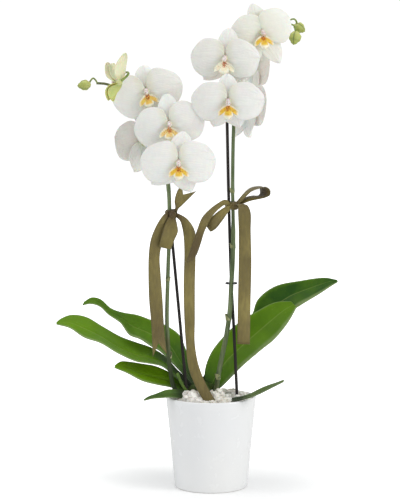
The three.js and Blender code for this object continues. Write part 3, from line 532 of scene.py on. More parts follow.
def turned(name, profile, sides):
    """A round body drawn up ring by ring from (radius, height) pairs in millimetres, closed at its ends."""
    clear()
    radius, height = profile[0]
    bpy.ops.mesh.primitive_circle_add(
        vertices=sides, radius=radius * MM, location=(0, 0, height * MM), fill_type="NGON"
    )
    obj = bpy.context.object
    obj.name = name
    bpy.ops.object.transform_apply(location=True, rotation=True, scale=True)
    bpy.ops.object.mode_set(mode="EDIT")
    bpy.ops.mesh.select_all(action="SELECT")
    for (r0, z0), (r1, z1) in zip(profile, profile[1:]):
        bpy.ops.mesh.extrude_region_move(TRANSFORM_OT_translate={"value": (0, 0, (z1 - z0) * MM)})
        share = r1 / r0
        bpy.ops.transform.resize(value=(share, share, 1), center_override=(0, 0, z1 * MM))
    bpy.ops.mesh.select_all(action="SELECT")
    bpy.ops.mesh.normals_make_consistent(inside=False)
    bpy.ops.object.mode_set(mode="OBJECT")
    return obj


def move(obj, matrix):
    """Moves a piece's points by a matrix in millimetres."""
    obj.data.transform(Matrix.Scale(MM, 4) @ matrix @ Matrix.Scale(1 / MM, 4))


def join(name, parts):
    """Makes one piece of the parts."""
    clear()
    for part in parts:
        part.select_set(True)
    bpy.context.view_layer.objects.active = parts[0]
    if len(parts) > 1:
        bpy.ops.object.join()
    parts[0].name = name
    return parts[0]


def soften(obj, angle):
    """Shades a piece smooth, apart from edges sharper than the angle in degrees."""
    select_only(obj)
    bpy.ops.object.shade_smooth_by_angle(angle=math.radians(angle))


def paint(obj, tint):
    """Stores tint(p) of each point p, in millimetres, as the piece's own colour attribute."""
    layer = obj.data.color_attributes.new(name="tint", type="FLOAT_COLOR", domain="POINT")
    for vertex, value in zip(obj.data.vertices, layer.data):
        value.color = (*tint(vertex.co / MM), 1)


def dress(obj, *looks):
    """Gives a piece its materials, in order."""
    for look in looks:
        obj.data.materials.append(look)


def finish(obj, slot, *nodes):
    """The piece rides on the plant's one body and stands for the nodes."""
    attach(obj, "root")
    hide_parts(*nodes)


# ---- materials ---------------------------------------------------------------------------------
def srgb(red, green, blue):
    """A colour given in 0 to 255 as it is seen, in the linear values that shaders take."""
    shares = [value / 255 for value in (red, green, blue)]
    return tuple(s / 12.92 if s < 0.04045 else ((s + 0.055) / 1.055) ** 2.4 for s in shares)


SHADER_INPUTS = {
    "color": "Base Color", "rough": "Roughness", "normal": "Normal", "specular": "Specular IOR Level",
    "sub": "Subsurface Weight", "sub_scale": "Subsurface Scale", "coat": "Coat Weight",
    "coat_rough": "Coat Roughness", "sheen": "Sheen Weight", "sheen_rough": "Sheen Roughness",
    "anisotropic": "Anisotropic",
}


class Finish:
    """A material made of nodes, read from the piece's own place, its UV map or its tint."""

    def __init__(self, name, coordinates="Object"):
        self.material = bpy.data.materials.new(name)
        self.material.use_nodes = True
        self.tree = self.material.node_tree
        self.shader = self.tree.nodes["Principled BSDF"]
        self.place = self.coordinates(coordinates)

    def add(self, kind, inputs=None, **settings):
        """One node with its settings, and with a value or another node's output on each input."""
        node = self.tree.nodes.new("ShaderNode" + kind)
        for key, value in settings.items():
            setattr(node, key, value)
        for key, value in (inputs or {}).items():
            self.feed(node.inputs[key], value)
        return node

    def feed(self, socket, value):
        """Links another node's output to an input, or sets the input's own value."""
        if isinstance(value, bpy.types.NodeSocket):
            self.tree.links.new(value, socket)
        elif isinstance(value, tuple) and socket.type == "RGBA":
            socket.default_value = (*value, 1)
        else:
            socket.default_value = value

    def coordinates(self, kind):
        return self.add("TexCoord").outputs[kind]

    def tint(self):
        """The piece's own colour attribute, as the outputs Red, Green and Blue."""
        stored = self.add("Attribute", attribute_name="tint").outputs["Color"]
        return self.add("SeparateColor", {"Color": stored}).outputs

    def scaled(self, x, y, z, place=None):
        """The place, scaled on each axis, for a pattern drawn out one way."""
        return self.add("Mapping", {"Vector": place or self.place, "Scale": (x, y, z)}).outputs["Vector"]

    def noise(self, scale, detail=3.0, distortion=0.0, place=None):
        inputs = {"Vector": place or self.place, "Scale": scale, "Detail": detail, "Distortion": distortion}
        return self.add("TexNoise", inputs).outputs["Fac"]

    def cells(self, scale):
        """How far each place lies from the middle of its cell."""
        return self.add("TexVoronoi", {"Vector": self.place, "Scale": scale}).outputs["Distance"]

    def lines(self, scale, distortion, direction, place=None):
        """Wavy bands that follow one another along a direction."""
        inputs = {"Vector": place or self.place, "Scale": scale, "Distortion": distortion, "Detail": 2.0}
        return self.add("TexWave", inputs, bands_direction=direction).outputs["Fac"]

    def axis(self, name):
        return self.add("SeparateXYZ", {"Vector": self.place}).outputs[name]

    def off_middle(self):
        """How far each place lies from the middle line of the UV map, from 0 to 0.5."""
        return self.math("ABSOLUTE", self.math("SUBTRACT", self.axis("X"), 0.5))

    def math(self, operation, first, second=0.0):
        return self.add("Math", {0: first, 1: second}, operation=operation).outputs[0]

    def times(self, value, factor):
        return self.math("MULTIPLY", value, factor)

    def swung(self, base, noise, reach):
        """The base moved up or down by noise, over reach in all."""
        return self.math("ADD", base, self.times(self.math("SUBTRACT", noise, 0.5), reach))

    def ranged(self, value, low, high, to_low=0.0, to_high=1.0):
        """The value eased from one range into another, and held at the new range's ends."""
        inputs = {"Value": value, "From Min": low, "From Max": high, "To Min": to_low, "To Max": to_high}
        return self.add("MapRange", inputs, interpolation_type="SMOOTHSTEP").outputs["Result"]

    def mix(self, share, first, second):
        """The first colour, with a share of the second laid over it."""
        node = self.add("Mix", data_type="RGBA")
        factor, color_a, color_b = node.inputs[0], node.inputs[6], node.inputs[7]
        self.feed(factor, share)
        self.feed(color_a, first)
        self.feed(color_b, second)
        return node.outputs[2]

    def bump(self, height, distance, strength, under=None):
        """Relief from a height, on top of another relief if there is one; distance is in metres."""
        inputs = {"Height": height, "Distance": distance, "Strength": strength}
        if under is not None:
            inputs["Normal"] = under
        return self.add("Bump", inputs).outputs["Normal"]

    def set(self, **inputs):
        """Feeds the shader by the short names of its inputs, and hands back the material."""
        for key, value in inputs.items():
            self.feed(self.shader.inputs[SHADER_INPUTS[key]], value)
        return self.material


def glazed_ceramic():
    """White glaze, a little uneven in gloss, with pinholes and a faint cast of cream."""
    f = Finish("glazed_ceramic")
    color = f.mix(f.ranged(f.noise(9), 0.3, 0.7), srgb(238, 239, 240), srgb(241, 241, 240))
    pits = f.ranged(f.cells(520), 0.0, 0.05, 1.0, 0.0)
    ripple = f.bump(f.noise(24, 2), 0.0012, 0.12)
    normal = f.bump(f.times(pits, -1.0), 0.0001, 0.15, ripple)
    rough = f.ranged(f.noise(60, 4), 0.2, 0.8, 0.16, 0.3)
    return f.set(color=color, rough=rough, normal=normal, coat=0.35, coat_rough=0.15, specular=0.4)


def bare_ceramic():
    """The unglazed ring that the pot stands on."""
    f = Finish("bare_ceramic")
    grain = f.noise(900, 5)
    color = f.mix(f.ranged(grain, 0.3, 0.7), srgb(214, 208, 198), srgb(232, 228, 220))
    return f.set(color=color, rough=0.85, normal=f.bump(grain, 0.0003, 0.5))


def bark():
    """Bark chips, darker where they meet."""
    f = Finish("bark_chips")
    chips = f.cells(95)
    grain = f.noise(60, 6, place=f.scaled(8, 8, 1))
    color = f.mix(f.ranged(chips, 0.0, 0.7), srgb(120, 84, 56), srgb(46, 30, 20))
    color = f.mix(f.times(grain, 0.6), color, srgb(84, 58, 40))
    return f.set(color=color, rough=0.92, normal=f.bump(f.times(chips, -1.0), 0.004, 0.8))


def white_stone():
    """Crushed white marble: grey veins, warm and grey patches, and grains that catch the light."""
    f = Finish("white_stone")
    color = f.mix(f.ranged(f.noise(70, 6, 1.6), 0.42, 0.62), srgb(248, 246, 240), srgb(206, 202, 194))
    color = f.mix(f.ranged(f.noise(34, 1), 0.35, 0.7, 0.0, 0.4), color, srgb(230, 222, 204))
    color = f.mix(f.ranged(f.noise(95, 1), 0.52, 0.68, 0.0, 0.6), color, srgb(150, 147, 136))
    grain = f.noise(1500)
    rough = f.ranged(grain, 0.3, 0.7, 0.42, 0.75)
    normal = f.bump(grain, 0.0004, 0.4, f.bump(f.noise(190, 2), 0.0016, 0.5))
    return f.set(color=color, rough=rough, normal=normal, sub=0.05, sub_scale=0.002)


def grit():
    """The dark crumbs seen between the stones."""
    f = Finish("grit_under_stones")
    crumbs = f.cells(260)
    color = f.mix(f.ranged(crumbs, 0.1, 0.6), srgb(150, 144, 134), srgb(60, 54, 46))
    return f.set(color=color, rough=0.95, normal=f.bump(f.times(crumbs, -1.0), 0.003, 0.9))


def leaf_green(name, deep, fresh, rib, rough):
    """A leaf's skin, with a rib, fine veins, a paler rolled edge, a painted highlight along both edges and
    painted shade towards the crown; the tint says how fresh (red), how grey (green) and how deep in
    painted shade (blue) it is."""
    f = Finish(name, "UV")
    # dark is the colour of painted shade, at the leaf's foot and among the stones.
    dark = srgb(14, 30, 4)
    along, across, side = f.axis("Y"), f.off_middle(), f.axis("X")
    ground = f.coordinates("Object")
    cloud = f.noise(26, 4, 0.4, ground)
    tint = f.tint()
    color = f.mix(f.swung(tint["Red"], cloud, 0.8), deep, fresh)
    color = f.mix(f.ranged(across, 0.34, 0.5, 0.0, 0.3), color, fresh)
    # Painted highlight: a thin pale line along both edges of the leaf.
    color = f.mix(f.ranged(across, 0.455, 0.49, 0.0, 0.55), color, srgb(136, 158, 100))
    rolled = f.swung(side, cloud, 0.1)
    color = f.mix(f.ranged(rolled, 0.85, 0.95, 0.0, 0.6), color, srgb(140, 156, 108))
    # Painted shade: darker towards the crown, and near black at the leaf's foot.
    color = f.mix(f.ranged(along, 0.0, 0.34, 0.8, 0.0), color, deep)
    color = f.mix(f.ranged(along, 0.03, 0.17, 0.8, 0.0), color, dark)
    veins = f.lines(11, 0.6, "X", f.scaled(1, 0.06, 1))
    color = f.mix(f.times(veins, 0.10), color, fresh)
    middle = f.ranged(across, 0.004, 0.025, 1.0, 0.0)
    color = f.mix(f.times(middle, 0.3), color, rib)
    specks = f.ranged(f.noise(420, 2, place=ground), 0.66, 0.8, 0.0, 0.25)
    color = f.mix(specks, color, rib)
    color = f.mix(tint["Green"], color, srgb(92, 108, 66))
    color = f.mix(f.times(tint["Blue"], 0.85), color, dark)
    pores = f.noise(1300, 2, place=ground)
    grain = f.bump(veins, 0.0004, 0.3, f.bump(pores, 0.0002, 0.35))
    normal = f.bump(f.noise(45, 2, place=ground), 0.003, 0.25, grain)
    shine = f.ranged(cloud, 0.3, 0.75, rough - 0.05, rough + 0.08)
    return f.set(
        color=color, rough=shine, normal=normal, coat=0.05, coat_rough=0.3, specular=0.22, sub=0.05,
        sub_scale=0.002,
    )


def stem_green(name, pale, deep, blush):
    """Stem skin: streaked lengthways, with brown specks, and painted shade where the tint's red is high."""
    f = Finish(name)
    streaks = f.noise(26, 4, 0.3, f.scaled(9, 9, 1))
    color = f.mix(f.ranged(streaks, 0.32, 0.7), deep, pale)
    patches = f.noise(16, 2)
    color = f.mix(f.ranged(patches, 0.5, 0.72, 0.0, 0.55), color, blush)
    specks = f.ranged(f.noise(640, 2), 0.64, 0.74, 0.0, 0.7)
    color = f.mix(specks, color, srgb(86, 78, 50))
    # Painted shade: near-black green where the tint's red is high, low among the leaves.
    color = f.mix(f.tint()["Red"], color, srgb(26, 40, 10))
    rough = f.ranged(patches, 0.3, 0.7, 0.38, 0.55)
    normal = f.bump(streaks, 0.0006, 0.5, f.bump(f.noise(900, 2), 0.0002, 0.3))
    return f.set(color=color, rough=rough, normal=normal, sub=0.06, sub_scale=0.002, specular=0.25)


def bract_skin():
    """Dry, papery sheath with fibres along it."""
    f = Finish("bract_paper")
    fibres = f.noise(40, 5, 0.2, f.scaled(10, 10, 1))
    color = f.mix(f.ranged(fibres, 0.3, 0.7), srgb(122, 128, 78), srgb(184, 184, 138))
    return f.set(color=color, rough=0.75, normal=f.bump(fibres, 0.0006, 0.6), sheen=0.1)


def petal_white(name, heart, skin, vein):
    """Petal: crystalline skin with faint veins that fan out from a tinted heart, partly the petal's own
    cream and partly painted shade by the lip; the tint's red says how green the whole still is."""
    f = Finish(name, "UV")
    ground = f.coordinates("Object")
    along = f.axis("Y")
    fan = f.noise(5, 2, place=f.scaled(1, 2, 1))
    thin = f.ranged(f.lines(7.5, 1.4, "X", f.scaled(1, 0.35, 1)), 0.62, 0.98)
    fade = f.ranged(along, 0.05, 0.95, 0.3, 0.05)
    color = f.mix(f.times(thin, fade), skin, vein)
    color = f.mix(f.ranged(fan, 0.35, 0.7, 0.0, 0.22), color, vein)
    youth = f.times(f.tint()["Red"], f.ranged(along, 0.1, 0.9, 0.9, 0.25))
    color = f.mix(youth, color, heart)
    # The heart: partly the petal's own cream at its foot, partly painted shade beside the lip and column.
    color = f.mix(f.ranged(along, 0.02, 0.17, 0.55, 0.0), color, heart)
    sparkle = f.noise(2400, 1, place=ground)
    rough = f.ranged(sparkle, 0.3, 0.7, 0.42, 0.6)
    folds = f.noise(2.6, 3, 0.4, f.scaled(2.2, 0.7, 1))
    normal = f.bump(f.noise(70, place=ground), 0.0016, 0.3, f.bump(sparkle, 0.00015, 0.25))
    normal = f.bump(f.times(thin, -1.0), 0.0006, 0.2, f.bump(folds, 0.006, 0.35, normal))
    return f.set(
        color=color, rough=rough, normal=normal, sub=0.18, sub_scale=0.004, sheen=0.12, sheen_rough=0.4
    )


def lip_yellow():
    """Lip: gold, flushed red brown where the tint's red is high, white where its green is high, and
    striped where its blue is high."""
    f = Finish("lip_yellow")
    tint = f.tint()
    gold = f.mix(f.ranged(f.noise(420, 3, 0.6), 0.35, 0.7), srgb(240, 204, 62), srgb(226, 172, 36))
    color = f.mix(tint["Green"], gold, srgb(250, 245, 222))
    flush = f.swung(tint["Red"], f.noise(300, 2, 1.0), 1.6)
    color = f.mix(f.ranged(flush, 0.3, 0.95, 0.0, 0.85), color, srgb(196, 96, 24))
    stripes = f.ranged(f.noise(620, 1), 0.56, 0.66, 0.0, 0.75)
    color = f.mix(f.times(stripes, tint["Blue"]), color, srgb(158, 66, 28))
    normal = f.bump(f.noise(800), 0.0004, 0.4)
    return f.set(color=color, rough=0.36, normal=normal, sub=0.12, sub_scale=0.002, specular=0.55)


def column_white():
    """Column: white, pink at its foot (red of the tint) and cream underneath (green), with dots."""
    f = Finish("column_white")
    tint = f.tint()
    color = f.mix(tint["Red"], srgb(232, 224, 221), srgb(216, 160, 158))
    color = f.mix(tint["Green"], color, srgb(244, 226, 150))
    dots = f.ranged(f.noise(430, 1), 0.48, 0.6, 0.0, 0.6)
    color = f.mix(dots, color, srgb(176, 140, 128))
    grain = f.noise(1100)
    rough = f.ranged(grain, 0.3, 0.7, 0.3, 0.45)
    return f.set(color=color, rough=rough, normal=f.bump(grain, 0.0002, 0.3), sub=0.2, sub_scale=0.003)


def bud_green():
    """Bud: yellow green, deeper along its seams (red of the tint) and paler at its foot (green)."""
    f = Finish("bud_green")
    tint = f.tint()
    color = f.mix(f.ranged(f.noise(120), 0.3, 0.7), srgb(176, 186, 92), srgb(146, 160, 70))
    color = f.mix(tint["Green"], color, srgb(196, 200, 120))
    color = f.mix(tint["Red"], color, srgb(70, 84, 34))
    normal = f.bump(f.noise(700), 0.0003, 0.4)
    return f.set(color=color, rough=0.42, normal=normal, sub=0.1, sub_scale=0.003)


def stake_dark():
    """Thin plant stake in dark brown plastic with drawn lines and scuffs."""
    f = Finish("stake_dark")
    drawn = f.noise(40, 4, place=f.scaled(14, 14, 1))
    scuff = f.ranged(f.noise(140, 4), 0.58, 0.75, 0.0, 0.5)
    color = f.mix(f.ranged(drawn, 0.3, 0.7), srgb(28, 24, 22), srgb(48, 42, 38))
    color = f.mix(scuff, color, srgb(70, 64, 58))
    rough = f.ranged(drawn, 0.3, 0.7, 0.35, 0.55)
    return f.set(color=color, rough=rough, normal=f.bump(drawn, 0.0004, 0.5), specular=0.3)


def clip_plastic():
    """Nearly black moulded plastic with a fine grain."""
    f = Finish("clip_plastic")
    grain = f.noise(1200)
    color = f.mix(f.ranged(grain, 0.35, 0.7), srgb(16, 16, 20), srgb(28, 28, 32))
    return f.set(color=color, rough=0.42, normal=f.bump(grain, 0.0002, 0.4))


def ribbon_satin():
    """Olive satin: weft ribs across, a firmer selvedge at each edge, and tone that shifts along the band;
    the tint's red says how deep it lies in a fold's shade, which is painted in brown."""
    f = Finish("ribbon_satin", "UV")
    ground = f.coordinates("Object")
    ribs = f.lines(14, 0.15, "Y")
    warp = f.lines(24, 0.1, "X")
    tone = f.noise(22, 3, 0.3, ground)
    color = f.mix(f.ranged(tone, 0.28, 0.74), srgb(100, 86, 32), srgb(146, 132, 66))
    fibres = f.noise(300, place=f.scaled(1, 1, 0.25, ground))
    color = f.mix(f.ranged(fibres, 0.35, 0.65, 0.0, 0.4), color, srgb(88, 72, 34))
    color = f.mix(f.times(ribs, 0.3), color, srgb(166, 154, 94))
    color = f.mix(f.times(warp, 0.12), color, srgb(84, 72, 34))
    color = f.mix(f.ranged(f.off_middle(), 0.43, 0.47, 0.0, 0.35), color, srgb(88, 78, 40))
    # Painted shade in the folds: brown where the tint's red is high.
    color = f.mix(f.times(f.tint()["Red"], 0.85), color, srgb(72, 50, 20))
    rough = f.ranged(ribs, 0.0, 1.0, 0.34, 0.5)
    weave = f.bump(warp, 0.0002, 0.3, f.bump(ribs, 0.0003, 0.5))
    normal = f.bump(f.noise(90, place=ground), 0.002, 0.3, weave)
    return f.set(color=color, rough=rough, normal=normal, sheen=0.2, sheen_rough=0.35, anisotropic=0.4)


def floor_white():
    """White sweep; away from the pot it glows to the camera, so that only the shadow near the pot shows."""
    f = Finish("floor_white")
    away = f.add("VectorMath", {0: f.place}, operation="LENGTH").outputs["Value"]
    seen = f.add("LightPath").outputs["Is Camera Ray"]
    glow = f.times(f.ranged(away, 0.075, 0.45, 0.14, 0.9), seen)
    f.feed(f.shader.inputs["Emission Color"], (1, 1, 1))
    f.feed(f.shader.inputs["Emission Strength"], glow)
    rough = f.ranged(f.noise(3, 2), 0.3, 0.7, 0.55, 0.65)
    return f.set(color=(0.9, 0.9, 0.9), rough=rough, specular=0.2)


# ---- settings ----------------------------------------------------------------------------------
class OrchidPotSettings(bpy.types.PropertyGroup):
    """Sizes of the pot."""

    wall: FloatProperty(name="Wall", description="Thickness of the wall", default=0.004, unit="LENGTH")
    floor: FloatProperty(name="Floor", description="Thickness of the floor", default=0.006, unit="LENGTH")
    lip: FloatProperty(name="Lip", description="Radius of the rounded rim", default=0.002, unit="LENGTH")
    sides: IntProperty(name="Sides", description="Faces round the pot", default=128, min=24)


class OrchidStoneSettings(bpy.types.PropertyGroup):
    """Size and fall of the stones."""

    size: FloatProperty(
        name="Size", description="Mean width of a stone", default=0.0098, unit="LENGTH"
    )
    spacing: FloatProperty(
        name="Spacing", description="Distance between stones", default=0.0070, unit="LENGTH"
    )
    seed: IntProperty(name="Seed", description="Changes how the stones fall", default=11)


class OrchidLeafSettings(bpy.types.PropertyGroup):
    """Section and greens of the leaves."""

    thickness: FloatProperty(name="Thickness", description="At the rib", default=0.0021, unit="LENGTH")
    cup: FloatProperty(
        name="Cup", description="Depth of the channel over the leaf's width", default=0.1, subtype="FACTOR"
    )
    rows: IntProperty(name="Rows", description="Faces along a leaf", default=84, min=12)
    seed: IntProperty(name="Seed", description="Changes how the edges wave", default=3)
    deep: FloatVectorProperty(
        name="Deep green", description="Upper skin in shade", subtype="COLOR", default=srgb(24, 72, 0)
    )
    fresh: FloatVectorProperty(
        name="Fresh green", description="Upper skin in light", subtype="COLOR", default=srgb(108, 150, 6)
    )


class OrchidFlowerSettings(bpy.types.PropertyGroup):
    """Section, waves and white of the blooms."""

    thickness: FloatProperty(name="Thickness", description="Of a petal", default=0.0007, unit="LENGTH")
    ruffle: FloatProperty(
        name="Ruffle", description="Height of the waves at the edge", default=0.0011, unit="LENGTH"
    )
    seed: IntProperty(name="Seed", description="Changes how each bloom differs", default=5)
    skin: FloatVectorProperty(
        name="Petal", description="Colour of the petals", subtype="COLOR", default=srgb(247, 245, 240)
    )


class OrchidRibbonSettings(bpy.types.PropertyGroup):
    """Section and ripple of the satin ribbons."""

    thickness: FloatProperty(name="Thickness", description="Of the satin", default=0.0005, unit="LENGTH")
    curl: FloatProperty(
        name="Curl", description="How far the band bows across", default=0.0012, unit="LENGTH"
    )
    seed: IntProperty(name="Seed", description="Changes how the band ripples", default=21)


class OrchidStageSettings(bpy.types.PropertyGroup):
    """Place and lens of the camera."""

    distance: FloatProperty(
        name="Distance", description="From the camera to the pot", default=2.2, unit="LENGTH"
    )
    height: FloatProperty(name="Height", description="Of the camera", default=0.5, unit="LENGTH")
    aim: FloatProperty(
        name="Aim", description="Height that the camera looks at", default=0.411, unit="LENGTH"
    )
    drop: FloatProperty(name="Drop", description="How far the camera's frame is moved down", default=0.1)
    side: FloatProperty(
        name="Side", description="The camera's place to the right", default=-0.0158, unit="LENGTH"
    )
    lens: FloatProperty(name="Lens", description="Focal length in millimetres", default=111, unit="CAMERA")


# ---- pot, fill and stones ----------------------------------------------------------------------
def wall_radius(height):
    """Outside radius of the pot at a height."""
    return POT_BASE_RADIUS + (POT_TOP_RADIUS - POT_BASE_RADIUS) * height / POT_HEIGHT


def arc(centre, radius, start, end, steps):
    """Places round an arc as pairs, from one angle to the other in degrees."""
    angles = [math.radians(start + (end - start) * i / steps) for i in range(steps + 1)]
    return [(centre[0] + radius * math.cos(a), centre[1] + radius * math.sin(a)) for a in angles]


class ORCHID_OT_pot(bpy.types.Operator):
    """Draws the pot up from its foot, over the rounded lip and down to the inside floor."""

    bl_idname = "orchid.pot"
    bl_label = "Pot"

    def execute(self, context):
        pot = context.scene.orchid_pot
        wall, floor, lip = pot.wall / MM, pot.floor / MM, pot.lip / MM
        underside = [(1, 0)] + [(POT_BASE_RADIUS - inset, height) for inset, height in POT_UNDERSIDE]
        corner = arc((POT_BASE_RADIUS - 2, POT_CORNER), POT_CORNER, -80, 0, 5)
        outside = [(wall_radius(z), z) for z in (12, 30, 60, 90, 118)]
        rim = arc((POT_TOP_RADIUS - lip - 0.2, POT_HEIGHT - lip), lip, 5, 175, 9)
        inside = [(wall_radius(z) - wall, z) for z in (112, 80, 40, floor + 6)]
        bowl = arc((wall_radius(floor) - wall - 5, floor + 5), 5, -8, -84, 5)
        profile = underside + corner + outside + rim + inside + bowl + [(1, floor)]
        body = turned("pot_glazed", profile, pot.sides)
        dress(body, glazed_ceramic(), bare_ceramic())
        for face in body.data.polygons:
            if face.center.z < 0.5 * MM:
                face.material_index = 1
        soften(body, 40)
        finish(body, "glazed_ceramic", "pot")
        return {"FINISHED"}


class ORCHID_OT_bark(bpy.types.Operator):
    """Gives the fill under the stones its bark."""

    bl_idname = "orchid.bark"
    bl_label = "Bark"

    def execute(self, context):
        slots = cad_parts["bark_fill"].data.materials
        slots.clear()
        slots.append(bark())
        return {"FINISHED"}


def heap(x, y):
    """Height of the stones: level, higher at the rear right, heaped on both sides of the front."""
    rise = 0
    for middle_x, middle_y, height, spread in HEAPS:
        rise += height * math.exp(-((x - middle_x) ** 2 + (y - middle_y) ** 2) / spread)
    rear = 3.5 / (1 + math.exp((30 - x - y) / 8))
    return STONES_LEVEL + rise + rear


def stone_model(name, draw):
    """One crushed stone: a block cut once across, its corners pushed about, its edges a little worn."""
    clear()
    bpy.ops.mesh.primitive_cube_add(size=1)
    stone = bpy.context.object
    stone.name = name
    edit_all(stone)
    bpy.ops.mesh.subdivide(number_cuts=1, smoothness=0.7)
    bpy.ops.mesh.select_all(action="SELECT")
    bpy.ops.transform.vertex_random(offset=0.16, seed=draw.randrange(10000))
    bpy.ops.object.mode_set(mode="OBJECT")
    soften(stone, 38)
    return stone


def roofs(cup):
    """Places on what lies low over the stones, up to 150 mm, so that no stone stands in it."""
    along, across, past_crown = 50, 4, 20
    low = [(edged(LEAVES[name], cup, LEAF_UP), past_crown) for name in SHADED]
    _, tail = RIBBONS["ribbon_left"][-1]
    low.append((edged(tail, 0, RIBBON_UP), 0))
    places = []
    for surface, first in low:
        for u in range(first, along + 1):
            places += [surface(u / along, v / across)[0] for v in range(-across, across + 1)]
    return [place for place in places if place.z < 150]


def stone_places(settings, models, rim, roof, draw):
    """Each stone's model and its place in millimetres, in two layers of a loose honeycomb; the upper one
    has fewer stones, and what lies under a leaf or the ribbon is pushed down."""
    size, gap = settings.size / MM, settings.spacing / MM
    row_step, layer_shift, stray = 0.87, 0.4, 0.3  # shares of the spacing
    sunk, layer_height, uneven = 2.2, 2.6, 1.3
    left_out = 0.3
    clear_round, clear_above = 1.5, 1.4
    cells = range(-int(rim / gap) - 1, int(rim / gap) + 2)
    for layer, i, j in [(layer, i, j) for layer in range(2) for i in cells for j in cells]:
        x = gap * (i + 0.5 * (j % 2) + layer_shift * layer + draw.uniform(-stray, stray))
        y = gap * (row_step * j + layer_shift * layer + draw.uniform(-stray, stray))
        half = size * draw.uniform(0.36, 0.62)
        angle = draw.uniform(0, FULL_TURN)
        turn = Matrix.Rotation(angle, 4, Vector([draw.uniform(-1, 1) for _ in "xyz"]))
        shape = [draw.uniform(0.8, 1.25), draw.uniform(0.7, 1.0), draw.uniform(0.55, 0.85)]
        model = draw.choice(models)
        z = heap(x, y) - sunk + layer_height * layer + draw.uniform(-uneven, uneven)
        if math.hypot(x, y) + half > rim - 0.2 or (layer and draw.random() < left_out):
            continue
        over = [p.z for p in roof if math.hypot(p.x - x, p.y - y) < half + clear_round]
        z = min([z] + [height - half - clear_above for height in over])
        if z > STONES_LOWEST:
            scale = Matrix.Diagonal((*[2 * half * share for share in shape], 1))
            yield model, Matrix.Translation((x, y, z)) @ turn @ scale


class ORCHID_OT_stones(bpy.types.Operator):
    """Lays white crushed stones over a bed of grit, up to the rim and heaped at the front."""

    bl_idname = "orchid.stones"
    bl_label = "Stones"

    def execute(self, context):
        settings = context.scene.orchid_stones
        draw = random.Random(settings.seed)
        rim = wall_radius(STONES_FROM) - context.scene.orchid_pot.wall / MM - 0.6
        bed_top = STONES_LOWEST + 4
        profile = [(rim - 0.4, STONES_FROM + 0.5), (rim, STONES_LOWEST), (rim - 2, bed_top - 0.5)]
        bed = turned("stone_bed", profile + [(rim * 0.6, bed_top), (1, bed_top)], sides=64)
        dress(bed, grit())
        soften(bed, 40)
        models = [stone_model(f"stone_{i}", draw) for i in range(7)]
        roof = roofs(context.scene.orchid_leaves.cup)
        stones = []
        for model, place in stone_places(settings, models, rim, roof, draw):
            mesh = model.data.copy()
            mesh.transform(Matrix.Scale(MM, 4) @ place)
            stone = bpy.data.objects.new("stone", mesh)
            context.collection.objects.link(stone)
            stones.append(stone)
        for model in models:
            bpy.data.objects.remove(model)
        body = join("white_stones", stones)
        dress(body, white_stone())
        finish(body, "white_stone", "white_pebbles")
        finish(bed, "white_stone", "white_pebbles")
        return {"FINISHED"}


# ---- crown, leaves, spikes ---------------------------------------------------------------------
def crown_point(u, v):
    """The crown's surface: a bulb wider than it is deep, a little ribbed, from the bark up."""
    angle = math.pi * (v + 1)
    reach = smooth_steps(CROWN_SWELL, u) * (1 + 0.05 * math.sin(5 * angle + 9 * u))
    bulge = 0.8 * math.sin(math.pi * min(u, 0.999) * 0.5) * math.sin(3 * angle)
    return Vector((
        CROWN_MIDDLE + reach * math.cos(angle),
        reach * CROWN_DEPTH_SHARE * math.sin(angle),
        CROWN_BOTTOM + (CROWN_TOP - CROWN_BOTTOM) * u + bulge,
    ))


class ORCHID_OT_crown(bpy.types.Operator):
    """Models the short stem that the leaves clasp, and the cut stub of an older flower stem."""

    bl_idname = "orchid.crown"
    bl_label = "Crown"

    def execute(self, context):
        body = patch("crown_stem", crown_point, rows=40, columns=40)
        close_tube(body)
        dress(body, stem_green("crown_skin", srgb(70, 92, 30), srgb(34, 54, 14), srgb(72, 80, 34)))
        stub = tube("old_stem", OLD_STEM, lambda u, a: 2.1 + 0.25 * math.sin(2 * a) * u, rows=24, sides=16)
        dress(stub, stem_green("stub_skin", srgb(110, 138, 58), srgb(66, 96, 34), srgb(108, 122, 60)))
        finish(join("crown_and_stub", [body, stub]), "crown_green", "crown")
        return {"FINISHED"}


def leaf_point(rows, cup, draw):
    """The leaf's surface with its channel, the groove over the rib and soft waves along the edges."""
    surface = edged(rows, cup, LEAF_UP)
    phase, waves = draw.uniform(0, FULL_TURN), draw.uniform(5, 8)

    def point(u, v):
        place, normal = surface(u, v)
        groove = 1.1 * math.exp(-((v / 0.07) ** 2)) * math.sin(math.pi * min(1, u + 0.12)) ** 0.5
        fold = abs(v) ** 3 * math.sin(waves * u * 2 + phase + (1.2 if v > 0 else 0))
        return place + normal * (fold * math.sin(math.pi * u) - groove)

    return point


def leaf_tint(name):
    """How fresh, how grey and how deep in shade each place of a leaf is."""
    start, full = SHADED.get(name, (0, 0))

    def tint(p):
        shade = clamp((p.x - start) / (full - start)) if name in SHADED else 0
        return (FRESHNESS[name], GREYNESS.get(name, 0), shade)

    return tint


class ORCHID_OT_leaves(bpy.types.Operator):
    """Models the seven leaves: thick at the rib, thin at the edge, paler underneath."""

    bl_idname = "orchid.leaves"
    bl_label = "Leaves"

    def execute(self, context):
        settings = context.scene.orchid_leaves
        draw = random.Random(settings.seed)
        top = leaf_green("leaf_top", tuple(settings.deep), tuple(settings.fresh), srgb(160, 180, 96), 0.4)
        under = leaf_green("leaf_under", srgb(92, 112, 54), srgb(136, 150, 88), srgb(166, 178, 124), 0.5)
        for name, rows in LEAVES.items():
            leaf = patch(name + "_blade", leaf_point(rows, settings.cup, draw), settings.rows, columns=20)
            if sum(face.normal.dot(LEAF_UP) * face.area for face in leaf.data.polygons) < 0:
                turn_over(leaf)
            paint(leaf, leaf_tint(name))
            dress(leaf, top, under)
            thicken(leaf, settings.thickness / MM, edge_share=0.4, under_slot=1)
            finish(leaf, "leaf_green", name)
        return {"FINISHED"}


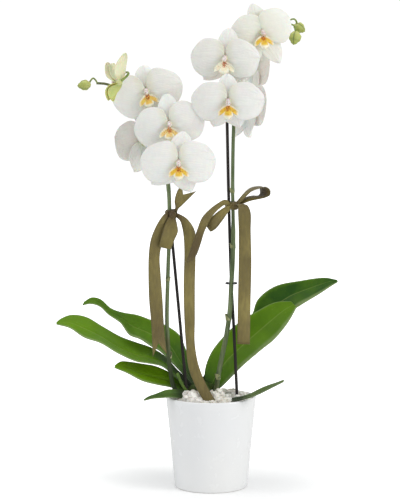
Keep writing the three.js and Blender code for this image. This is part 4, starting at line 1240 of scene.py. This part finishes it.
def bloom_matrix(name):
    """From a bloom's own frame in millimetres to the plant's."""
    at, yaw, nod, roll = BLOOMS[name][:4]
    turn = Matrix.Rotation(math.radians(yaw), 4, "Z") @ Matrix.Rotation(math.radians(90 + nod), 4, "X")
    return Matrix.Translation(at) @ turn @ Matrix.Rotation(math.radians(roll), 4, "Z")


def flower_stalk(name):
    """The stalk from the spike to the back of a bloom."""
    matrix = bloom_matrix(name)
    far, near, root = (matrix @ Vector((0, 0, z)) for z in (-16, -13, -3))
    start = Vector(BLOOMS[name][5])
    bends = [start.lerp(far, 0.55) + Vector((0, 0, 3)), near]
    if name == "half_open":
        bends = HALF_OPEN_STALK
    points = [start, *bends, root]
    return tube("stalk", points, lambda u, a: 1.35 + 0.5 * u ** 4 + 0.4 * (1 - u) ** 6, rows=26, sides=12)


def bud_stalk(name):
    """The stalk from the spike to the inside of a bud."""
    at, tip, length, _, points = BUDS[name]
    root = Vector(at) - Vector(tip).normalized() * length * 0.3
    return tube("stalk", [*points, root], lambda u, a: 1.2 + 0.3 * u ** 3, rows=26, sides=12)


def bract(place, radius, reach, draw):
    """A papery sheath that clasps the stem at a joint and ends in a point."""
    centre = Vector(place)
    side = draw.uniform(0, FULL_TURN)

    def point(u, v):
        angle = side + math.pi * 0.92 * v * (1 - 0.75 * u)
        out = radius + 0.45 + 1.1 * u * u
        return centre + Vector((out * math.cos(angle), out * math.sin(angle), -2.5 + reach * u))

    sheath = patch("bract", point, rows=12, columns=16)
    thicken(sheath, 0.35, edge_share=0.5)
    return sheath


def spike_radius(name):
    """Stem radius by share of its length, swollen at the joints."""
    steps = 200
    line = evenly(spline(SPIKES[name]), steps)
    knots = []
    for place, _, _ in JOINTS[name]:
        nearest = min(range(steps + 1), key=lambda i: (line[i] - Vector(place)).length)
        knots.append(nearest / steps)

    def radius(u, angle):
        swell = sum(math.exp(-(((u - knot) / 0.006) ** 2)) for knot in knots)
        flutes = 1 + 0.02 * math.sin(3 * angle + 20 * u)
        return smooth_steps(SPIKE_RADII[name], u) * (1 + 0.14 * swell) * flutes

    return radius


def foot_shade(share):
    """Painted shade among the leaves: full up to 165 mm, gone at 225 mm."""
    return lambda p: (share * clamp((225 - p.z) / 60), 0, 0)


class ORCHID_OT_spikes(bpy.types.Operator):
    """Models each flower spike with its joints, bracts, flower stalks and bud stalks."""

    bl_idname = "orchid.spikes"
    bl_label = "Flower spikes"

    def execute(self, context):
        skin = stem_green("stem_skin", srgb(128, 142, 102), srgb(82, 98, 64), srgb(110, 102, 66))
        tip = stem_green("stalk_skin", srgb(156, 172, 96), srgb(112, 134, 66), srgb(120, 120, 70))
        paper = bract_skin()
        draw = random.Random(BRACT_SEED)
        for name, points in SPIKES.items():
            stem = tube(name + "_stem", points, spike_radius(name), rows=260, sides=18)
            paint(stem, foot_shade(FOOT_SHADE[name]))
            dress(stem, skin)
            blooms, buds = CARRIED[name]
            stalks = [flower_stalk(bloom) for bloom in blooms] + [bud_stalk(bud) for bud in buds]
            for stalk in stalks:
                paint(stalk, lambda p: (0, 0, 0))
                dress(stalk, tip)
            sheaths = [bract(place, radius, reach, draw) for place, radius, reach in JOINTS[name]]
            for bloom in blooms:
                start = Vector(BLOOMS[bloom][5])
                sheaths.append(bract(start - Vector((0, 0, 1)), 2.0, 5.5, draw))
            for sheath in sheaths:
                dress(sheath, paper)
            finish(join(name + "_stem", [stem, *stalks, *sheaths]), "stem_green", name)
        return {"FINISHED"}


def stake_radius(length):
    """Radius of a stake: pointed at its foot, rounded at its top, with faint flutes."""
    def radius(u, angle):
        foot, top = u * length, (1 - u) * length
        ends = min(1, 0.35 + foot / 9) * math.sqrt(min(1, 0.15 + top / STAKE_RADIUS))
        return STAKE_RADIUS * ends * (1 + 0.015 * math.sin(7 * angle))

    return radius


class ORCHID_OT_stakes(bpy.types.Operator):
    """Models the two thin stakes, rounded at the top and pointed at the foot."""

    bl_idname = "orchid.stakes"
    bl_label = "Stakes"

    def execute(self, context):
        plastic = stake_dark()
        for name, points in STAKES.items():
            radius = stake_radius(length_of(spline(points)))
            rod = tube(name + "_rod", points, radius, rows=240, sides=16)
            dress(rod, plastic)
            finish(rod, "stake_dark", name)
        return {"FINISHED"}


def clip_ring(centre, radius, start, end):
    """An open ring of the clip, level round its centre, from one angle to the other in degrees."""
    points = [centre + Vector((x, y, 0)) for x, y in arc((0, 0), radius, start, end, 14)]
    return tube("ring", points, lambda u, a: 0.62 * (1 + 0.5 * abs(math.sin(a))), rows=40, sides=10)


def clip_wing(side):
    """A finger plate of the clip, bowed, at the left (-1) or the right (1) of the claw."""
    root = CLIP_STEM + Vector((side * 4, 1.4, 0))

    def point(u, v):
        bow = 0.9 * math.sin(math.pi * u)
        half = 1.9 * (1 - 0.2 * u) * math.sqrt(max(0.06, 1 - u ** 6))
        return root + Vector((side * 4.6 * u, 1.4 * u + bow, half * v))

    plate = patch("wing", point, rows=12, columns=8)
    thicken(plate, 1.0)
    return plate


class ORCHID_OT_clip(bpy.types.Operator):
    """Models the sprung clip: a claw round the stem, a ring round the stake, and two finger wings."""

    bl_idname = "orchid.clip"
    bl_label = "Clip"

    def execute(self, context):
        claw = clip_ring(CLIP_STEM, 4.35, -62, 242)
        grip = clip_ring(CLIP_STAKE, 3.1, -200, 20)
        body = join("stem_clip", [claw, grip, clip_wing(-1), clip_wing(1)])
        dress(body, clip_plastic())
        finish(body, "clip_plastic", "stake_clip")
        return {"FINISHED"}


# ---- blooms ------------------------------------------------------------------------------------
def outline(shape, share, broad):
    """Width of a tepal at a share of its length, 1 at its widest; a broad side widens sooner."""
    low = shape["low"] - 0.17 * broad
    high = shape["high"] + 0.12 * broad
    peak = low / (low + high)
    return (share ** low * (1 - share) ** high) / (peak ** low * (1 - peak) ** high)


def tepals_of(name):
    """Turn and shape of a bloom's five tepals: upper sepal, two petals, two lower sepals."""
    upper, petal, lower = UPPER, PETAL, LOWER
    if name == "half_open":
        upper, petal, lower = YOUNG_UPPER, YOUNG_PETAL, YOUNG_LOWER
    upper = {**upper, "length": upper["length"] * TALL.get(name, 1)}
    lower = {**lower, "length": lower["length"] * LONG.get(name, 1)}
    return list(zip(BLOOMS[name][6], (upper, petal, petal, lower, lower)))


def tepal(turn, shape, size, ruffle, draw):
    """One petal or sepal: cupped by the heart, bent back at the tip, softly waved along the edge."""
    lift = Matrix.Rotation(math.radians(shape["lift"]), 4, "X")
    place = Matrix.Rotation(-math.radians(turn), 4, "Z") @ lift
    first, second = draw.uniform(0, FULL_TURN), draw.uniform(0, FULL_TURN)
    lean, waves = draw.uniform(-0.04, 0.04), draw.uniform(5.5, 8.5)

    def point(u, v):
        share = 0.02 + 0.9785 * math.sin(u * math.pi / 2) ** 0.9
        phase = first if v > 0 else second
        broad = shape["broad"] and v * turn < 0
        wide = outline(shape, share, broad) * (1 + 0.035 * math.sin(9 * share + phase))
        half = size * shape["width"] * wide / 2
        height = shape["level"] + shape["rise"] * math.sin(math.pi * share)
        height -= shape["recurve"] * share ** 2 + shape["edge"] * v * v * share
        wave = ruffle * share * abs(v) ** 3 * math.sin(waves * share + phase)
        wave += 0.5 * ruffle * share * math.sin(3 * v + first) * math.sin(4 * share)
        crease = -0.55 * math.exp(-((v / 0.06) ** 2)) * (1 - share)
        bend = lean * share * share * shape["length"]
        along = size * shape["length"] * share
        return place @ Vector((v * half + bend, along, size * height + wave + crease))

    return patch("tepal", point, rows=36, columns=32)


def column():
    """The white column over the lip, hooded at its end."""
    def radius(u, angle):
        hood = math.sqrt(max(0.02, 1 - (max(0, u - 0.7) / 0.305) ** 2))
        return (2.5 + 0.9 * u) * hood * (1 + 0.08 * math.cos(2 * angle) * u)

    body = tube("column", COLUMN, radius, rows=28, sides=20)
    paint(body, lambda p: (clamp((6 - p.z) / 5) * 0.7, clamp((1 - p.y) / 3) * 0.4, 0))
    return body


def lump(name, point, segments, rings):
    """A round body; point(x, y, z) lays each place of a ball of radius 1, in millimetres."""
    clear()
    bpy.ops.mesh.primitive_uv_sphere_add(segments=segments, ring_count=rings, radius=1)
    obj = bpy.context.object
    obj.name = name
    for vertex in obj.data.vertices:
        vertex.co = Vector(point(*vertex.co)) * MM
    bpy.ops.object.shade_smooth()
    return obj


def heart():
    """The knob behind the tepals where the stalk ends."""
    return lump("heart", lambda x, y, z: (4.4 * x, 4.4 * y, 5.0 * z - 1), segments=20, rings=12)


class ORCHID_OT_blooms(bpy.types.Operator):
    """Models the nine open blooms and the half-open one, each a little different."""

    bl_idname = "orchid.blooms"
    bl_label = "Blooms"

    def execute(self, context):
        settings = context.scene.orchid_flowers
        skin = tuple(settings.skin)
        white = petal_white("petal_white", srgb(226, 225, 200), skin, srgb(228, 226, 227))
        young = petal_white("young_petal", srgb(206, 210, 132), srgb(240, 238, 206), srgb(218, 220, 176))
        green = petal_white("young_sepal", srgb(176, 188, 84), srgb(214, 218, 138), srgb(192, 202, 110))
        ivory = column_white()
        for number, name in enumerate(BLOOMS):
            draw = random.Random(settings.seed * 100 + number)
            size = BLOOMS[name][4]
            youth = YOUTH.get(name, 0)
            looks = [young, young, young, green, green] if name == "half_open" else [white] * 5
            parts = []
            for (turn, shape), look in zip(tepals_of(name), looks):
                part = tepal(turn, shape, size, settings.ruffle / MM, draw)
                thicken(part, settings.thickness / MM)
                paint(part, lambda p, youth=youth: (youth, 0, 0))
                dress(part, look)
                parts.append(part)
            middle, knob = column(), heart()
            dress(middle, ivory)
            dress(knob, young)
            body = join(f"bloom_{name}_flower", [*parts, middle, knob])
            move(body, bloom_matrix(name))
            finish(body, "petal_white", "bloom_" + name)
        return {"FINISHED"}


def lobe_half(u):
    """Half width of the lip's side lobe at a share of its length."""
    return 1.4 + 3.8 * math.sin(math.pi * (0.14 + 0.72 * u))


def lobe_drop(u):
    """How far the middle of the lip's side lobe lies below the heart at a share of its length."""
    return 5.6 + 8.6 * u ** 1.2


def lip_side(side, pale):
    """A side lobe of the lip, curled in towards the column."""
    def point(u, v):
        half = lobe_half(u)
        curl = 1.4 * v * v * (0.4 + u)
        z = 6.5 + 4.4 * u - 1.2 * u * u - v * half * 0.35 + curl
        return Vector((side * (LOBE_ROOT + LOBE_LENGTH * u), v * half * 0.85 - lobe_drop(u), z))

    def tint(p):
        """Brown red by the heart, cream along the edges and at the end."""
        u = clamp((abs(p.x) - LOBE_ROOT) / LOBE_LENGTH)
        v = (p.y + lobe_drop(u)) / (0.85 * lobe_half(u))
        rim = max((abs(v + 0.25) - 0.5) / 0.5, (u - 0.72) / 0.28, 0)
        return (max(0, 1 - u / 0.3), min(1, pale + rim), 1 - u)

    lobe = patch("lip_lobe", point, rows=16, columns=14)
    thicken(lobe, 0.8, edge_share=0.5)
    paint(lobe, tint)
    return lobe


def tongue_tint(pale):
    """Red brown where the tongue starts, then gold, and white along its rim and at its end."""
    def tint(p):
        red = max(0, 1 - math.hypot(p.x / 3.4, (p.y + 8) / 4.5))
        end = clamp((-14 - p.y) / 2.5)
        rim = clamp((abs(p.x) - 3.8) / 2.4)
        stripes = max(0, 1 - math.hypot(p.x / 6, (p.y + 9) / 5))
        return (red, clamp(max(end, rim) + pale), stripes)

    return tint


def lip_tongue(pale):
    """The middle lobe: spread like an anchor, then narrowing to its tip."""
    def point(u, v):
        half = max(0.5, 1.8 + 5.6 * math.sin(math.pi * min(1, u ** 1.4)) - 0.9 * u)
        z = 4.5 + 11 * math.sin(1.9 * u) - 2.0 * v * v * (1 - u) + 0.7 * math.cos(4 * v)
        return Vector((v * half, -6.5 - 14 * u, z))

    tongue = patch("lip_tongue", point, rows=22, columns=18)
    thicken(tongue, 0.9, edge_share=0.5)
    paint(tongue, tongue_tint(pale))
    return tongue


def tendril(side):
    """One of the two threads at the tip of the lip, curled back."""
    points = [(side * x, y, z) for x, y, z in TENDRIL]
    thread = tube("tendril", points, lambda u, a: 0.5 - 0.28 * u, rows=18, sides=8)
    paint(thread, lambda p: (0, 0.9, 0))
    return thread


def callus(side, pale):
    """One hump of the two-humped cushion at the foot of the lip."""
    def point(x, y, z):
        return (side * 1.5 + 1.9 * x, -7.2 + 2.6 * y, 6.4 + 2.6 * z + 0.5 * y)

    hump = lump("hump", point, segments=16, rings=10)
    paint(hump, lambda p: (0.75, pale, 1.0))
    return hump


class ORCHID_OT_lips(bpy.types.Operator):
    """Models each open bloom's lip: side lobes, middle lobe, cushion and two threads."""

    bl_idname = "orchid.lips"
    bl_label = "Lips"

    def execute(self, context):
        yellow = lip_yellow()
        for name in BLOOMS:
            if name == "half_open":
                continue
            pale = PALE_LIPS.get(name, 0)
            parts = [lip_side(-1, pale), lip_side(1, pale), lip_tongue(pale), tendril(-1), tendril(1)]
            parts += [callus(-1, pale), callus(1, pale)]
            body = join(f"lip_{name}_flower", parts)
            dress(body, yellow)
            move(body, bloom_matrix(name))
            finish(body, "lip_yellow", "lip_" + name)
        return {"FINISHED"}


def bud(name, length, radius):
    """A bud that points along Y: three folded sepals that meet in seams."""
    def point(u, v):
        angle = math.pi * (v + 1)
        seam = abs(math.sin(1.5 * angle)) ** 0.35
        reach = radius * smooth_steps(BUD_SWELL, u) * (0.93 + 0.07 * seam)
        return Vector((reach * math.cos(angle), (u - 0.5) * length, reach * math.sin(angle)))

    def tint(p):
        seam = max(0, 1 - abs(math.sin(1.5 * math.atan2(p.z, p.x))) * 4)
        return (0.8 * seam, max(0, 0.5 - p.y / length), 0)

    obj = patch(name + "_sepals", point, rows=30, columns=48)
    close_tube(obj)
    paint(obj, tint)
    return obj


class ORCHID_OT_buds(bpy.types.Operator):
    """Models the three buds, each of folded sepals that meet in seams."""

    bl_idname = "orchid.buds"
    bl_label = "Buds"

    def execute(self, context):
        green = bud_green()
        for name, (at, tip, length, radius, _) in BUDS.items():
            body = bud(name, length, radius)
            dress(body, green)
            turn = Vector((0, 1, 0)).rotation_difference(Vector(tip)).to_matrix().to_4x4()
            move(body, Matrix.Translation(at) @ turn)
            finish(body, "bud_green", name)
        return {"FINISHED"}


# ---- ribbons -----------------------------------------------------------------------------------
def ribbon_strip(rows, notch, curl, draw):
    """One stretch of the band and its length: bowed a little across, rippled where it leaves the knot."""
    surface = edged(rows, 0, RIBBON_UP, notch)
    first, second = (spline([row[side] for row in rows]) for side in (0, 1))
    run = (length_of(first) + length_of(second)) / 2
    phase = draw.uniform(0, FULL_TURN)

    def point(u, v):
        place, normal = surface(u, v)
        gather = math.exp(-u * run / 16)
        ripple = gather * 0.9 * math.cos(7 * v + phase)
        drift = 0.5 * math.sin(u * run / 17 + phase) * math.sin(1.6 * v + phase)
        return place + normal * (curl * (1 - v * v) * (1 - gather) + ripple + drift * (1 - gather))

    strip = patch("strip", point, rows=max(24, int(run / 2.2)), columns=14)
    stretch_uv(strip, 1, run / RIBBON_WIDTH)
    return strip, run


def ribbon_wrap(centre, half, axis, phase):
    """The band pulled tight round the stems, or round its own crossing, in creases."""
    centre = Vector(centre)

    def point(u, v):
        angle = 2 * math.pi * u
        crease = 1 + 0.06 * math.cos(9 * v + 2 * angle + phase) - 0.14 * v * v
        if axis == "Z":
            away = Vector((half[0] * math.cos(angle), half[1] * math.sin(angle), 0)) * crease
            return centre + away + Vector((0, 0, half[2] * v * (1 + 0.12 * math.sin(angle + phase))))
        away = Vector((0, -half[1] * math.cos(angle), half[2] * math.sin(angle))) * crease
        return centre + away + Vector((half[0] * v * (0.8 + 0.25 * math.cos(2 * angle)), 0, 0))

    band = patch("wrap", point, rows=64, columns=20)
    stretch_uv(band, 1, 2.5)
    edit_all(band)
    bpy.ops.mesh.remove_doubles(threshold=1e-6)
    bpy.ops.object.mode_set(mode="OBJECT")
    return band


def fold_shade(name):
    """How deep each place of a band lies in the shade of a fold; that shade is painted in brown."""
    def tint(p):
        deep = 0
        for place, reach, share in FOLDS[name]:
            deep += share * math.exp(-(((p - Vector(place)).length / reach) ** 2))
        return (clamp(deep), 0, 0)

    return tint


class ORCHID_OT_ribbons(bpy.types.Operator):
    """Models the two satin ribbons, each one band tied in a knot with loops and tails."""

    bl_idname = "orchid.ribbons"
    bl_label = "Ribbons"

    def execute(self, context):
        settings = context.scene.orchid_ribbons
        draw = random.Random(settings.seed)
        satin = ribbon_satin()
        for name, strips in RIBBONS.items():
            parts, total = [], 0
            for notch, rows in strips:
                strip, run = ribbon_strip(rows, notch, settings.curl / MM, draw)
                parts.append(strip)
                total += run
            for centre, half, axis in KNOTS[name]:
                parts.append(ribbon_wrap(centre, half, axis, draw.uniform(0, FULL_TURN)))
                total += 2 * math.pi * half[1]
            for part in parts:
                thicken(part, settings.thickness / MM)
                paint(part, fold_shade(name))
            band = join(name + "_band", parts)
            dress(band, satin)
            finish(band, "ribbon_olive", name)
        return {"FINISHED"}


# ---- stage -------------------------------------------------------------------------------------
def soft_light(name, place, aim, size, power, color):
    """A square lamp at a place, turned to its aim."""
    light = bpy.data.lights.new(name, "AREA")
    light.size = size
    light.energy = power
    light.color = color
    lamp = bpy.data.objects.new(name, light)
    lamp.location = place
    lamp.rotation_euler = (Vector(aim) - Vector(place)).to_track_quat("-Z", "Y").to_euler()
    bpy.context.collection.objects.link(lamp)


def white_room():
    """A world that is plain white to the camera, and lights the plant a little dimmer and cooler."""
    world = bpy.data.worlds.new("white_room")
    world.use_nodes = True
    tree = world.node_tree
    room = tree.nodes["Background"]
    room.inputs["Color"].default_value = (0.97, 0.985, 1.0, 1)
    room.inputs["Strength"].default_value = 0.68
    backdrop = tree.nodes.new("ShaderNodeBackground")
    backdrop.inputs["Color"].default_value = (1, 1, 1, 1)
    backdrop.inputs["Strength"].default_value = 1.05
    path = tree.nodes.new("ShaderNodeLightPath")
    share = tree.nodes.new("ShaderNodeMixShader")
    tree.links.new(path.outputs["Is Camera Ray"], share.inputs[0])
    tree.links.new(room.outputs[0], share.inputs[1])
    tree.links.new(backdrop.outputs[0], share.inputs[2])
    tree.links.new(share.outputs[0], tree.nodes["World Output"].inputs["Surface"])
    return world


class ORCHID_OT_stage(bpy.types.Operator):
    """Sets a white sweep, soft studio light and the camera at the viewer's place."""

    bl_idname = "orchid.stage"
    bl_label = "Stage"

    def execute(self, context):
        scene = context.scene
        stage = scene.orchid_stage
        clear()
        bpy.ops.mesh.primitive_plane_add(size=24, location=(0, 0, 0))
        sweep = context.object
        sweep.name = "floor_sweep"
        dress(sweep, floor_white())
        scene.world = white_room()
        scene.view_settings.view_transform = "Standard"
        middle, low_middle = (0, 0, 0.35), (-0.05, 0, 0.3)
        soft_light("key_light", (2.0, -1.15, 1.35), middle, size=1.0, power=20, color=(1, 0.99, 0.965))
        soft_light("top_light", (-0.6, -0.1, 1.9), low_middle, size=1.0, power=8, color=(1, 0.995, 0.98))
        soft_light("fill_light", (-1.9, -1.2, 0.8), middle, size=1.6, power=4, color=(0.99, 0.99, 1))
        lens = bpy.data.cameras.new("viewer")
        lens.lens = stage.lens
        lens.sensor_width = 36
        lens.shift_y = -stage.drop
        camera = bpy.data.objects.new("viewer", lens)
        place = Vector((stage.side, -stage.distance, stage.height))
        aim = Vector((stage.side, 0, stage.aim))
        camera.location = place
        camera.rotation_euler = (aim - place).to_track_quat("-Z", "Y").to_euler()
        context.collection.objects.link(camera)
        scene.camera = camera
        return {"FINISHED"}


# ---- panel and run -----------------------------------------------------------------------------
SETTINGS = {
    "orchid_pot": OrchidPotSettings,
    "orchid_stones": OrchidStoneSettings,
    "orchid_leaves": OrchidLeafSettings,
    "orchid_flowers": OrchidFlowerSettings,
    "orchid_ribbons": OrchidRibbonSettings,
    "orchid_stage": OrchidStageSettings,
}
OPERATORS = [
    ORCHID_OT_stage, ORCHID_OT_pot, ORCHID_OT_bark, ORCHID_OT_stones, ORCHID_OT_crown, ORCHID_OT_leaves,
    ORCHID_OT_spikes, ORCHID_OT_stakes, ORCHID_OT_clip, ORCHID_OT_blooms, ORCHID_OT_lips, ORCHID_OT_buds,
    ORCHID_OT_ribbons,
]


class ORCHID_PT_panel(bpy.types.Panel):
    """Lists the pieces of the orchid and their sizes."""

    bl_idname = "ORCHID_PT_panel"
    bl_label = "Potted Orchid"
    bl_space_type = "VIEW_3D"
    bl_region_type = "UI"
    bl_category = "Orchid"

    def draw(self, context):
        for operator in OPERATORS:
            self.layout.operator(operator.bl_idname)
        for name, group in SETTINGS.items():
            box = self.layout.box()
            for key in group.__annotations__:
                box.prop(getattr(context.scene, name), key)


def register():
    """Makes the settings, the operators and the panel known to Blender."""
    for name, group in SETTINGS.items():
        bpy.utils.register_class(group)
        setattr(bpy.types.Scene, name, PointerProperty(type=group))
    for operator in OPERATORS:
        bpy.utils.register_class(operator)
    bpy.utils.register_class(ORCHID_PT_panel)


def unregister():
    """Takes them back in the opposite order."""
    bpy.utils.unregister_class(ORCHID_PT_panel)
    for operator in reversed(OPERATORS):
        bpy.utils.unregister_class(operator)
    for name, group in reversed(SETTINGS.items()):
        delattr(bpy.types.Scene, name)
        bpy.utils.unregister_class(group)


def main():
    """Builds the whole plant on its stage."""
    register()
    bpy.ops.orchid.stage()
    bpy.ops.orchid.pot()
    bpy.ops.orchid.bark()
    bpy.ops.orchid.stones()
    bpy.ops.orchid.crown()
    bpy.ops.orchid.leaves()
    bpy.ops.orchid.spikes()
    bpy.ops.orchid.stakes()
    bpy.ops.orchid.clip()
    bpy.ops.orchid.blooms()
    bpy.ops.orchid.lips()
    bpy.ops.orchid.buds()
    bpy.ops.orchid.ribbons()


if __name__ == "__main__":
    main()
